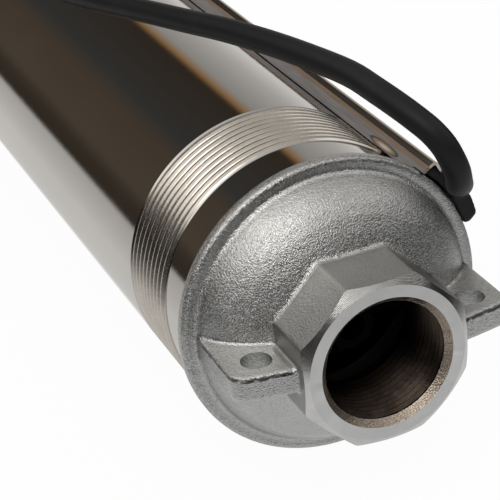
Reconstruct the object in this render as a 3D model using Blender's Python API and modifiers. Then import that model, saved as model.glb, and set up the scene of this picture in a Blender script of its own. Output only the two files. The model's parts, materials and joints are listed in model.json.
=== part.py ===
"""A 4-inch submersible borehole pump with its motor, lying on its side.

The pieces are modelled upright, as the pump hangs in its well, with the outlet's face at the top.
A station is a distance in millimetres from that face down towards the motor. One empty then lays
the whole pump down, with the outlet towards -Y and the rope lugs level.
"""

import math

import bmesh
import bpy
from mathutils import Matrix, Vector

MM = 0.001
GAP = 0.3  # between neighbours that touch

# Jacket, rims and the thread bands at the jacket's ends
TUBE_RADIUS = 48.0
TUBE_WALL = 1.5
NECK_STEP = 1.0  # how far the plain end rings lie below the tube
NECK_LENGTH = 17.5
NECK_WALL = 1.6  # where the jacket is threaded onto its castings
THREAD_LENGTH = 28.4
RIM_PROUD = 2.1  # of the castings' rims above the tube
RIM_WIDTH = 5.0
RIM_EDGE = 0.8  # rounding of a rim's outer edges

# Discharge head
SOCKET_RADIUS = 19.5
SOCKET_DEPTH = 24.0
SOCKET_CHAMFER = 2.0
FACE_WIDTH = 3.9  # of the machined ring round the socket
BOSS_WALL = 7.25  # from the socket's bore to a flat of the eight-sided boss
BOSS_CHAMFER_DEPTH = 2.0
DOME_TOP = 20.0  # station where the dome leaves the boss
DOME_DEPTH = 18.6  # from there to the front of the rim
DOME_LAND = 4.1  # width of the rim's front face
BOSS_FILLET = 3.2  # of the hollow where the dome leaves the boss
CREASE_RISE = 0.2
HEAD_SPIGOT_LENGTH = 43.4
HEAD_SPIGOT_WALL = 4.6

# Rope lugs
LUG_THICKNESS = 8.6
LUG_INSET = 4.5  # of a lug's outer edge from the rim's radius
LUG_FRONT = 7.2  # station of the front edge at the outer corner
LUG_RISE = 2.6  # how much further forward that edge is at the boss
LUG_CORNER = 5.0
LUG_EDGE = 1.0
ROPE_HOLE_RADIUS = 4.8
ROPE_HOLE_MARGIN = 5.3  # from the hole to the lug's outer edge
ROPE_HOLE_SETBACK = 8.2  # of its centre from the front corner

# Check valve
CHAMBER_WIDTH = 9.5  # how much wider the chamber's radius is than the socket's
CHAMBER_STEP = 3.5
CHAMBER_LEDGE = 7.7  # from the socket's end to the chamber's top
GUIDE_HEIGHT = 5.0
GUIDE_RING_WALL = 3.0
GUIDE_BOSS_WALL = 2.9
GUIDE_BOSS_RISE = 7.0
GUIDE_ARM_WIDTH = 4.0
GUIDE_ARM_COUNT = 3
STEM_RADIUS = 4.0
POPPET_OVERLAP = 4.5  # of the poppet on the seat's bore
POPPET_HEIGHT = 3.6
STEM_LENGTH = 20.0
SPRING_RADIUS = 10.5
SPRING_WIRE = 0.8
SPRING_TURN_COUNT = 4
SPRING_HEIGHT = 17.0
SEAL_HEIGHT = 1.6
SEAL_WIDTH = 4.0
SEAT_BORE_RADIUS = 16.5
SEAT_WIDTH = 16.2
SEAT_HEIGHT = 6.5

# Stages
STAGE_COUNT = 4
STAGE_PITCH = 46.5
BOWL_CLEARANCE = 0.6
BOWL_WALL = 2.2
BOWL_PLATE = 2.0
CORE_TOP_RADIUS = 14.0
CORE_INSET = 7.7  # of the core's edge from the bowl's wall
CORE_TOP = 3.4
CORE_DEPTH = 20.0
CORE_CLEARANCE = 0.8  # round an impeller's hub
DIFFUSER_VANE_COUNT = 5
IMPELLER_INSET = 5.7  # of an impeller's rim from the bowl's wall
IMPELLER_TOP = 24.0
SHROUD_THICKNESS = 1.6
IMPELLER_WIDTH = 9.0  # of the passage at the rim
IMPELLER_VANE_COUNT = 5
EYE_SHARE = 0.58  # of the impeller's radius
EYE_WALL = 2.2
EYE_CLEARANCE = 0.6
EYE_RISE = 7.0  # how far the eye lies below the impeller's rim
EYE_OVERLAP = 1.7  # how far the eye reaches into the next neck
HUB_WALL = 2.7
HUB_TOP = 3.3
VANE_THICKNESS = 1.6

# Upper bearing
SPIDER_HEIGHT = 12.1
SPIDER_WALL = 3.4
SPIDER_ARM_COUNT = 3
SPIDER_ARM_WIDTH = 5.0
SPIDER_BOSS_WALL = 3.5
BUSH_WALL = 4.0

# Pump shaft and coupling
SHAFT_ACROSS_FLATS = 14.0
JOURNAL_STEP = 0.5  # of the round journal above the hexagon's corners
JOURNAL_CLEARANCE = 0.4
SHAFT_NUT_WALL = 4.0
SHAFT_NUT_HEIGHT = 7.0
SHAFT_STUB = 2.0  # of the shaft above its nut
COUPLING_WALL = 5.6
COUPLING_LENGTH = 50.0
COUPLING_SHARE_ON_MOTOR = 24.0

# Suction bracket and strainer
BRACKET_SPIGOT_LENGTH = 45.7
BRACKET_WALL = 5.1
BRACKET_PLATE = 3.5
BELL_DEPTH = 10.0
CAGE_INSET = 1.5  # of the bracket's cage from the tube's radius
CAGE_LENGTH = 46.7
FLANGE_INSET = 0.7
FLANGE_HEIGHT = 10.0
FLANGE_BORE_RADIUS = 24.0
WINDOW_MARGIN = 2.5
NUT_POCKET = 1.0
STRAINER_WALL = 0.8
SLOT_COUNT = 12
SLOT_WIDTH = 4.0
SLOT_MARGIN = 6.0

# Motor flange, studs and nuts
STUD_INSET = 9.2  # of the studs' circle from the flange's edge
STUD_RADIUS = 4.0
STUD_TOP = 10.5  # above the flange
STUD_DEPTH = 12.0  # in the motor's top bell
STUD_COUNT = 4
NUT_ACROSS_FLATS = 13.0
NUT_HEIGHT = 6.5
PILOT_STEP = 3.9  # of the motor's pilot from the bell's edge
PILOT_HEIGHT = 2.4

# Motor
MOTOR_INSET = 0.25  # of the motor's shell from the tube's radius
MOTOR_WALL = 1.4
BELL_STEP = 0.15
TOP_BELL_HEIGHT = 34.0
BELL_SPIGOT = 12.0
BELL_SPIGOT_WALL = 5.0
SHAFT_EXTENSION = 38.0
SPLINE_STEP = 2.9
MOTOR_SHAFT_RADIUS = 10.0
MOTOR_SHAFT_CLEARANCE = 0.5
ROTOR_SEAT_STEP = 2.5
BEARING_WALL = 5.5
UPPER_BEARING_LENGTH = 28.0
LOWER_BEARING_LENGTH = 18.0
BEARING_BOSS_WALL = 5.7
SEAL_WALL = 4.0
SEAL_POCKET_DEPTH = 9.0
SLINGER_WIDTH = 9.0
SLINGER_HEIGHT = 5.0
STATOR_LENGTH = 114.0
STATOR_BORE_SHARE = 0.578  # of the shell's bore
ROTOR_CLEARANCE = 0.8
ROTOR_SHORTER = 8.0  # than the stator
WINDING_LENGTH = 16.0
WINDING_STEP = 3.2  # of the windings' inside from the stator's bore
WINDING_INSET = 3.35  # of the windings' outside from the shell's bore
WINDING_EDGE = 3.0
WINDING_CLEARANCE = 3.0
THRUST_DISC_WIDTH = 16.0
THRUST_DISC_HEIGHT = 6.5
THRUST_SEAT_STEP = 2.0
PAD_COUNT = 6
PAD_INSET = 1.0
PAD_WIDTH = 12.5
PAD_HEIGHT = 6.5
PAD_SLOT = 3.0
BOTTOM_BELL_HEIGHT = 24.0
BOTTOM_FLOOR = 7.0
CARRIER_PLATE = 6.0
CARRIER_DRAFT = 2.0
PORT_INSET = 4.0  # of the bottom's port from the pads' bore
DIAPHRAGM_INSET = 5.6
DIAPHRAGM_EDGE = 9.0
DIAPHRAGM_WALL = 1.6
DIAPHRAGM_DISH = 5.0
COVER_HEIGHT = 12.0
COVER_WALL = 2.5
COVER_EDGE = 3.0

# Cable guard, lead and boot
GUARD_ANGLE = 32.75  # degrees above the lugs' plane
GUARD_HALF_WIDTH = 16.4
GUARD_RISE = 5.9  # of its top above the tube
GUARD_CORNER = 4.0
GUARD_SHEET = 1.0
GUARD_SETBACK = 1.7  # of its mouth behind the jacket's end
GUARD_TAIL = 4.0  # past the motor's flange
LEAD_THICKNESS = 4.1
LEAD_WIDTH = 12.0
PLUG_RADIUS = 5.6
PLUG_LENGTH = 15.0
PLUG_INSET = 4.8  # of its centre from the tube's radius
PLUG_DEPTH = 4.7  # of its top below the motor's face
PLUG_OVERLAP = 3.0
GUARD_SCREW_SPREAD = 10.5  # of each screw from the guard's middle
GUARD_SCREW_RADIUS = 1.7
GUARD_SCREW_HEAD = 3.2
GUARD_SCREW_HEAD_HEIGHT = 1.8
GUARD_SCREW_LENGTH = 11.0
BOOT_SIDE = 2.4  # how much narrower than the guard the boot is on each side
BOOT_HEIGHT = 6.6
BOOT_LENGTH = 4.6
BOOT_EDGE = 2.0
TONGUE_LENGTH = 12.0
TONGUE_CLEARANCE = 3.4  # beside the tongue, in the guard
BOOT_NECK_WALL = 0.6
BOOT_NECK_LENGTH = 6.0

# Cord: where it runs beside the pump, as degrees above the lugs' plane, the distance past the
# guard's mouth and the clearance from the jacket
CORD_RADIUS = 4.5
CORD_ROUTE = [
    (33.63, -7.6, 3.11),
    (37.24, -12.8, 3.02),
    (41.80, -17.0, 3.31),
    (46.56, -19.6, 4.51),
    (51.20, -20.5, 7.03),
    (56.03, -19.7, 9.24),
    (60.26, -17.1, 11.19),
    (63.75, -12.8, 13.06),
    (66.42, -7.0, 14.49),
    (69.32, 2.4, 16.02),
    (72.61, 14.4, 17.08),
    (77.22, 34.4, 16.20),
    (81.17, 54.4, 14.60),
    (85.57, 76.4, 12.29),
    (90.18, 97.4, 9.70),
    (94.44, 119.4, 6.98),
    (100.12, 144.4, 4.39),
    (105.80, 168.4, 2.58),
    (110.66, 192.4, 1.36),
    (114.57, 216.4, 1.38),
    (121.50, 240.4, 2.04),
    (135.00, 260.4, 1.95),
    (152.27, 277.4, 2.30),
    (171.28, 291.4, 3.55),
    (-169.94, 303.4, 7.62),
    (-155.91, 315.4, 13.66),
    (-147.02, 327.9, 18.78),
    (-142.72, 341.4, 20.64),
    (-142.15, 356.4, 19.69),
    (-142.15, 370.4, 19.69),
]
CORD_SPACING = 10.0  # between the tube's points

# Coil of the cord's other length, on the floor beside the pump
COIL_RADIUS = 50.0  # at the middle of its turns
COIL_ROW_COUNT = 2
COIL_LAYER_COUNT = 2
TIE_THICKNESS = 1.0
TIE_WIDTH = 4.8
TIE_ANGLE = 200.0  # degrees round the coil
TIE_HEAD = 3.0
STRAND_COUNT = 3
CORE_WIRE_RADIUS = 1.3
CORE_CIRCLE_RADIUS = 1.9
CORE_LENGTH = 32.0
FERRULE_RADIUS = 0.9
FERRULE_LENGTH = 12.0
SLEEVE_LENGTH = 26.0

# Facets round a turned piece
FACET_COUNT = 32
MOTOR_FACET_COUNT = 24
INNER_FACET_COUNT = 16
SMALL_FACET_COUNT = 8

# Radii that follow from the sizes above
NECK_RADIUS = TUBE_RADIUS - NECK_STEP
SPIGOT_RADIUS = NECK_RADIUS - NECK_WALL - GAP
RIM_RADIUS = TUBE_RADIUS + RIM_PROUD
DOME_FOOT_RADIUS = RIM_RADIUS - DOME_LAND
HEAD_BORE_RADIUS = SPIGOT_RADIUS - HEAD_SPIGOT_WALL
FACE_RADIUS = SOCKET_RADIUS + SOCKET_CHAMFER + FACE_WIDTH
BOSS_RADIUS = SOCKET_RADIUS + BOSS_WALL  # to its flats
LUG_REACH = RIM_RADIUS - LUG_INSET
ROPE_HOLE_REACH = LUG_REACH - ROPE_HOLE_MARGIN - ROPE_HOLE_RADIUS
ROPE_HOLE_STATION = LUG_FRONT + ROPE_HOLE_SETBACK
CHAMBER_RADIUS = SOCKET_RADIUS + CHAMBER_WIDTH
GUIDE_BORE_RADIUS = STEM_RADIUS + 2 * GAP
GUIDE_BOSS_RADIUS = GUIDE_BORE_RADIUS + GUIDE_BOSS_WALL
POPPET_RADIUS = SEAT_BORE_RADIUS + POPPET_OVERLAP
SEAT_RADIUS = SEAT_BORE_RADIUS + SEAT_WIDTH
BOWL_RADIUS = TUBE_RADIUS - TUBE_WALL - BOWL_CLEARANCE
BOWL_BORE_RADIUS = BOWL_RADIUS - BOWL_WALL
CORE_RADIUS = BOWL_BORE_RADIUS - CORE_INSET
IMPELLER_RADIUS = BOWL_BORE_RADIUS - IMPELLER_INSET
EYE_RADIUS = IMPELLER_RADIUS * EYE_SHARE
NECK_BORE_RADIUS = EYE_RADIUS + EYE_WALL + EYE_CLEARANCE
SHAFT_CORNER = SHAFT_ACROSS_FLATS / 2 / math.cos(math.pi / 6)
HUB_RADIUS = SHAFT_CORNER + HUB_WALL
CORE_BORE_RADIUS = HUB_RADIUS + CORE_CLEARANCE
JOURNAL_RADIUS = SHAFT_CORNER + JOURNAL_STEP
BUSH_BORE_RADIUS = JOURNAL_RADIUS + JOURNAL_CLEARANCE
BUSH_RADIUS = BUSH_BORE_RADIUS + BUSH_WALL
COUPLING_RADIUS = SHAFT_CORNER + GAP + COUPLING_WALL
BRACKET_BORE_RADIUS = SPIGOT_RADIUS - BRACKET_WALL
CAGE_RADIUS = TUBE_RADIUS - CAGE_INSET
FLANGE_RADIUS = TUBE_RADIUS - FLANGE_INSET
STUD_CIRCLE_RADIUS = FLANGE_RADIUS - STUD_INSET
MOTOR_RADIUS = TUBE_RADIUS - MOTOR_INSET
MOTOR_BORE_RADIUS = MOTOR_RADIUS - MOTOR_WALL
BELL_RADIUS = MOTOR_RADIUS - BELL_STEP
BELL_SPIGOT_RADIUS = MOTOR_BORE_RADIUS - GAP
PILOT_RADIUS = BELL_RADIUS - PILOT_STEP
MOTOR_SHAFT_BORE = MOTOR_SHAFT_RADIUS + MOTOR_SHAFT_CLEARANCE
SPLINE_RADIUS = MOTOR_SHAFT_RADIUS - SPLINE_STEP
BEARING_RADIUS = MOTOR_SHAFT_BORE + BEARING_WALL
HOUSING_RADIUS = BEARING_RADIUS + GAP
BEARING_BOSS_RADIUS = HOUSING_RADIUS + BEARING_BOSS_WALL
SEAL_POCKET_RADIUS = MOTOR_SHAFT_BORE + SEAL_WALL
STATOR_BORE_RADIUS = MOTOR_BORE_RADIUS * STATOR_BORE_SHARE
ROTOR_RADIUS = STATOR_BORE_RADIUS - ROTOR_CLEARANCE
ROTOR_SEAT_RADIUS = MOTOR_SHAFT_RADIUS + ROTOR_SEAT_STEP
WINDING_INNER_RADIUS = STATOR_BORE_RADIUS + WINDING_STEP
WINDING_OUTER_RADIUS = MOTOR_BORE_RADIUS - WINDING_INSET
THRUST_SEAT_RADIUS = MOTOR_SHAFT_RADIUS - THRUST_SEAT_STEP
THRUST_DISC_RADIUS = THRUST_SEAT_RADIUS + THRUST_DISC_WIDTH
PAD_RING_RADIUS = THRUST_DISC_RADIUS - PAD_INSET
PAD_BORE_RADIUS = PAD_RING_RADIUS - PAD_WIDTH
DIAPHRAGM_RADIUS = BELL_RADIUS - DIAPHRAGM_INSET
GUARD_SEAT_RADIUS = TUBE_RADIUS + GAP
GUARD_HEIGHT = TUBE_RADIUS + GUARD_RISE  # of its top, from the pump's axis
GUARD_FOOT = math.sqrt(GUARD_SEAT_RADIUS**2 - GUARD_HALF_WIDTH**2)
PLUG_REACH = TUBE_RADIUS - PLUG_INSET
BOOT_NECK_RADIUS = CORD_RADIUS + BOOT_NECK_WALL

# Stations that follow from the sizes above
RIM_TOP = DOME_TOP + DOME_DEPTH
JACKET_TOP = RIM_TOP + RIM_WIDTH + GAP
SPIGOT_END = RIM_TOP + RIM_WIDTH + HEAD_SPIGOT_LENGTH
SPIDER_TOP = SPIGOT_END + GAP
STAGE_TOP = SPIDER_TOP + SPIDER_HEIGHT + GAP
STAGE_END = STAGE_TOP + STAGE_COUNT * STAGE_PITCH
JACKET_END = STAGE_END + BRACKET_SPIGOT_LENGTH
BRACKET_RIM = JACKET_END + GAP
CAGE_TOP = BRACKET_RIM + RIM_WIDTH
FLANGE_TOP = CAGE_TOP + CAGE_LENGTH
MOTOR_FACE = FLANGE_TOP + FLANGE_HEIGHT + GAP
TOP_BELL_END = MOTOR_FACE + TOP_BELL_HEIGHT
SHELL_TOP = TOP_BELL_END + GAP
STATOR_TOP = TOP_BELL_END + BELL_SPIGOT + WINDING_CLEARANCE + WINDING_LENGTH
STATOR_END = STATOR_TOP + STATOR_LENGTH
CARRIER_TOP = STATOR_END + WINDING_LENGTH + WINDING_CLEARANCE
CARRIER_END = CARRIER_TOP + LOWER_BEARING_LENGTH
THRUST_TOP = CARRIER_END + 2 * GAP
PAD_TOP = THRUST_TOP + THRUST_DISC_HEIGHT + GAP
FLOOR_TOP = PAD_TOP + PAD_HEIGHT + GAP
BOTTOM_BELL_TOP = CARRIER_END + GAP
SHELL_END = BOTTOM_BELL_TOP + BELL_SPIGOT
BOTTOM_BELL_END = SHELL_END + GAP + BOTTOM_BELL_HEIGHT
COVER_TOP = BOTTOM_BELL_END + GAP
PUMP_LENGTH = COVER_TOP + COVER_HEIGHT
CHAMBER_TOP = SOCKET_DEPTH + CHAMBER_LEDGE
GUIDE_END = CHAMBER_TOP + GUIDE_HEIGHT
POPPET_TOP = GUIDE_END + SPRING_HEIGHT + GAP
SEAT_TOP = POPPET_TOP + POPPET_HEIGHT + SEAL_HEIGHT + 2 * GAP
SHAFT_TOP = SPIDER_TOP - SHAFT_NUT_HEIGHT - SHAFT_STUB - GAP
SHAFT_END = MOTOR_FACE - SHAFT_EXTENSION - GAP
GUARD_TOP = JACKET_TOP + GUARD_SETBACK
GUARD_END = MOTOR_FACE + GUARD_TAIL


# Scene and placing


def clear_scene():
    for old in list(bpy.data.objects):
        bpy.data.objects.remove(old, do_unlink=True)


def add_collection(name):
    collection = bpy.data.collections.new(name)
    bpy.context.scene.collection.children.link(collection)
    return collection


def add_empty(name, parent=None):
    empty = bpy.data.objects.new(name, None)
    empty.empty_display_size = 0.05
    parts.objects.link(empty)
    empty.parent = parent
    return empty


def add_material(name, colour, metallic, roughness):
    material = bpy.data.materials.new(name)
    material.use_nodes = True
    shader = material.node_tree.nodes["Principled BSDF"]
    shader.inputs["Base Color"].default_value = (*colour, 1.0)
    shader.inputs["Metallic"].default_value = metallic
    shader.inputs["Roughness"].default_value = roughness
    material.diffuse_color = (*colour, 1.0)
    return material


def place(name, mesh, finish, parent):
    """Makes a named piece that rides on an empty, in that empty's frame."""
    piece = bpy.data.objects.new(name, mesh)
    parts.objects.link(piece)
    piece.parent = parent
    colour, metallic, roughness = FINISHES[finish]
    mesh.materials.clear()
    mesh.materials.append(add_material(name, colour, metallic, roughness))
    return piece


def make_tool(name, mesh):
    """Makes a shape that only cuts or joins other pieces."""
    tool = bpy.data.objects.new(name, mesh)
    tools.objects.link(tool)
    tool.parent = upright
    tool.hide_render = True
    tool.display_type = "WIRE"
    return tool


# Shapes, all in millimetres, round or along the pump's axis


def mesh_from(bm, name):
    mesh = bpy.data.meshes.new(name)
    bm.to_mesh(mesh)
    bm.free()
    return mesh


def outline_mesh(name, profile):
    """The bare outline of a turned piece, from (radius, station) points down its outer side."""
    bm = bmesh.new()
    corners = [bm.verts.new((radius * MM, 0.0, -station * MM)) for radius, station in profile]
    for first, second in zip(corners, corners[1:]):
        bm.edges.new((first, second))
    if profile[0][0] > 0.0:
        bm.edges.new((corners[-1], corners[0]))
    return mesh_from(bm, name)


def turn(piece, facets):
    screw = piece.modifiers.new("turned", "SCREW")
    screw.axis = "Z"
    screw.angle = math.tau
    screw.steps = facets
    screw.render_steps = facets
    screw.use_merge_vertices = True
    screw.merge_threshold = 0.00001
    screw.use_smooth_shade = True
    return piece


def turned(name, profile, finish, parent, facets=FACET_COUNT):
    return turn(place(name, outline_mesh(name, profile), finish, parent), facets)


def turned_tool(name, profile, facets=FACET_COUNT):
    return turn(make_tool(name, outline_mesh(name, profile)), facets)


def rod_mesh(name, radius, top, end, spots=((0.0, 0.0),), facets=SMALL_FACET_COUNT, turn_by=0.0):
    """Upright rods between two stations, at (x, y) spots, as one mesh."""
    bm = bmesh.new()
    for x, y in spots:
        middle = Vector((x, y, -(top + end) / 2)) * MM
        spin = Matrix.Rotation(math.atan2(y, x) + turn_by, 4, "Z")
        bmesh.ops.create_cone(
            bm,
            cap_ends=True,
            segments=facets,
            radius1=radius * MM,
            radius2=radius * MM,
            depth=(end - top) * MM,
            matrix=Matrix.Translation(middle) @ spin,
        )
    return mesh_from(bm, name)


def box_mesh(name, boxes):
    """Boxes as (low corner, high corner, degrees round the axis), with stations for heights."""
    bm = bmesh.new()
    for (x0, y0, top), (x1, y1, end), angle in boxes:
        size = Vector((x1 - x0, y1 - y0, end - top)) * MM
        middle = Vector(((x0 + x1) / 2, (y0 + y1) / 2, -(top + end) / 2)) * MM
        spin = Matrix.Rotation(math.radians(angle), 4, "Z")
        scale = Matrix.Diagonal((*size, 1.0))
        bmesh.ops.create_cube(bm, size=1.0, matrix=spin @ Matrix.Translation(middle) @ scale)
    return mesh_from(bm, name)


def plate_mesh(name, outline, thickness):
    """A flat outline, filled and given a thickness, as a mesh about the outline's plane."""
    curve = bpy.data.curves.new(name, "CURVE")
    curve.dimensions = "2D"
    curve.fill_mode = "BOTH"
    curve.extrude = thickness / 2 * MM
    spline = curve.splines.new("POLY")
    spline.points.add(len(outline) - 1)
    for point, (x, y) in zip(spline.points, outline):
        point.co = (x * MM, y * MM, 0.0, 1.0)
    spline.use_cyclic_u = True
    return curve_to_mesh(curve, name)


def curve_to_mesh(curve, name):
    """Turns a curve into a mesh whose caps are welded on."""
    holder = bpy.data.objects.new(name, curve)
    parts.objects.link(holder)
    graph = bpy.context.evaluated_depsgraph_get()
    mesh = bpy.data.meshes.new_from_object(holder.evaluated_get(graph))
    bpy.data.objects.remove(holder, do_unlink=True)
    bpy.data.curves.remove(curve)
    mesh.name = name
    bm = bmesh.new()
    bm.from_mesh(mesh)
    bmesh.ops.remove_doubles(bm, verts=bm.verts, dist=0.00001)
    bmesh.ops.recalc_face_normals(bm, faces=bm.faces)
    bm.to_mesh(mesh)
    bm.free()
    return mesh


def tube_curve(name, points, radius, sides):
    """A tube with filled caps along points in millimetres."""
    curve = bpy.data.curves.new(name, "CURVE")
    curve.dimensions = "3D"
    curve.bevel_depth = radius * MM
    curve.bevel_resolution = sides
    curve.use_fill_caps = True
    spline = curve.splines.new("POLY")
    spline.points.add(len(points) - 1)
    for point, place_at in zip(spline.points, points):
        point.co = (*(Vector(place_at) * MM), 1.0)
    return curve


def arc(middle, radius, start, end, steps):
    """Points on an arc between two angles in degrees."""
    angles = [math.radians(start + (end - start) * step / steps) for step in range(steps + 1)]
    return [(middle[0] + radius * math.cos(a), middle[1] + radius * math.sin(a)) for a in angles]


def ring_spots(count, radius, start=0.0):
    angles = [math.radians(start + 360.0 * step / count) for step in range(count)]
    return [(radius * math.cos(a), radius * math.sin(a)) for a in angles]


def hexagon_radius(across_flats):
    return across_flats / 2 / math.cos(math.pi / 6)


def combine(piece, tool, operation):
    boolean = piece.modifiers.new(tool.name, "BOOLEAN")
    boolean.operation = operation
    boolean.object = tool
    return piece


def cut(piece, tool):
    return combine(piece, tool, "DIFFERENCE")


def join(piece, tool):
    return combine(piece, tool, "UNION")


def bevel(piece, width, segments=1):
    rounding = piece.modifiers.new("edges", "BEVEL")
    rounding.width = width * MM
    rounding.segments = segments
    rounding.limit_method = "ANGLE"
    rounding.angle_limit = math.radians(40)
    return piece


# Discharge head


def boss_tool():
    """The eight-sided socket boss, its corners turned back to the machined face."""
    corner = BOSS_RADIUS / math.cos(math.pi / 8)
    depth = DOME_TOP + DOME_DEPTH / 2
    boss = make_tool("boss", rod_mesh("boss", corner, 0.0, depth, facets=8, turn_by=math.pi / 8))
    cone = [
        (0.0, -GAP),
        (FACE_RADIUS - GAP, -GAP),
        (FACE_RADIUS, 0.0),
        (corner, BOSS_CHAMFER_DEPTH),
        (corner + BOSS_CHAMFER_DEPTH, BOSS_CHAMFER_DEPTH * 2),
        (corner + BOSS_CHAMFER_DEPTH, depth + 1.0),
        (0.0, depth + 1.0),
    ]
    return combine(boss, turned_tool("boss_turning", cone), "INTERSECT")


def lug_tool():
    """Both rope lugs as one plate through the head, which the waterway then cuts."""
    middle = (LUG_REACH - LUG_CORNER, LUG_FRONT + LUG_CORNER)
    slope = math.degrees(math.atan2(LUG_RISE, LUG_REACH - LUG_CORNER - BOSS_RADIUS))
    corner = arc(middle, LUG_CORNER, 0, slope - 90, 3)
    boss_side = (BOSS_RADIUS, LUG_FRONT - LUG_RISE)
    right = [(LUG_REACH, RIM_TOP + RIM_WIDTH / 2), *corner, boss_side]
    outline = right + [(-x, station) for x, station in reversed(right)]
    mesh = plate_mesh("lugs", [(x, -station) for x, station in outline], LUG_THICKNESS)
    mesh.transform(Matrix.Rotation(math.radians(90), 4, "X"))
    return bevel(make_tool("lugs", mesh), LUG_EDGE)


def dome_profile():
    """Down the outside of the head, from its axis to the end of its spigot."""
    start = (0.0, DOME_TOP)
    foot = (DOME_FOOT_RADIUS, RIM_TOP - CREASE_RISE)
    boss_root = BOSS_RADIUS + BOSS_FILLET / 2
    hollow = [
        (boss_root, DOME_TOP + BOSS_FILLET / 4),
        (boss_root + BOSS_FILLET, DOME_TOP + BOSS_FILLET * 0.65),
    ]
    bulge_middle = (boss_root, RIM_TOP)
    across = foot[0] - bulge_middle[0]
    height = DOME_DEPTH - BOSS_FILLET
    steps = [math.radians(degrees) for degrees in (62, 44, 27, 11)]
    bulge = [
        (bulge_middle[0] + across * math.cos(a), bulge_middle[1] - height * math.sin(a)) for a in steps
    ]
    rim = rim_profile(RIM_TOP, foot[0] + RIM_EDGE)
    spigot = [
        (SPIGOT_RADIUS, RIM_TOP + RIM_WIDTH),
        (SPIGOT_RADIUS, SPIGOT_END),
        (0.0, SPIGOT_END),
    ]
    return [start, *hollow, *bulge, foot, *rim, *spigot]


def rim_profile(top, inner):
    end = top + RIM_WIDTH
    return [
        (inner, top),
        (RIM_RADIUS - RIM_EDGE, top),
        (RIM_RADIUS, top + RIM_EDGE),
        (RIM_RADIUS, end - RIM_EDGE),
        (RIM_RADIUS - RIM_EDGE, end),
    ]


def waterway_tool():
    """The threaded socket, the valve chamber and the bores below it, as one cutter."""
    seat_bore = SEAT_RADIUS + GAP
    seat_end = SEAT_TOP + SEAT_HEIGHT
    profile = [
        (0.0, -1.0),
        (SOCKET_RADIUS + SOCKET_CHAMFER + 1.0, -1.0),
        (SOCKET_RADIUS, SOCKET_CHAMFER),
        (SOCKET_RADIUS, SOCKET_DEPTH),
        (CHAMBER_RADIUS - CHAMBER_STEP, CHAMBER_TOP - GAP),
        (CHAMBER_RADIUS, CHAMBER_TOP - GAP),
        (CHAMBER_RADIUS, SEAT_TOP - GAP),
        (seat_bore, SEAT_TOP - GAP),
        (seat_bore, seat_end + 1.0),
        (HEAD_BORE_RADIUS, seat_end + 5.0),
        (HEAD_BORE_RADIUS, SPIGOT_END + 1.0),
        (0.0, SPIGOT_END + 1.0),
    ]
    return turned_tool("waterway", profile, MOTOR_FACET_COUNT)


def rope_hole_tool():
    spots = [(-ROPE_HOLE_REACH, 0.0), (ROPE_HOLE_REACH, 0.0)]
    mesh = rod_mesh("rope_holes", ROPE_HOLE_RADIUS, -LUG_THICKNESS, LUG_THICKNESS, spots, 16)
    lay_over = Matrix.Rotation(math.radians(90), 4, "X")
    mesh.transform(Matrix.Translation((0.0, 0.0, -ROPE_HOLE_STATION * MM)) @ lay_over)
    return make_tool("rope_holes", mesh)


def make_head():
    head = turned("discharge_head", dome_profile(), "plated_casting", upright)
    join(head, boss_tool())
    join(head, lug_tool())
    cut(head, waterway_tool())
    cut(head, rope_hole_tool())


# Check valve


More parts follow.
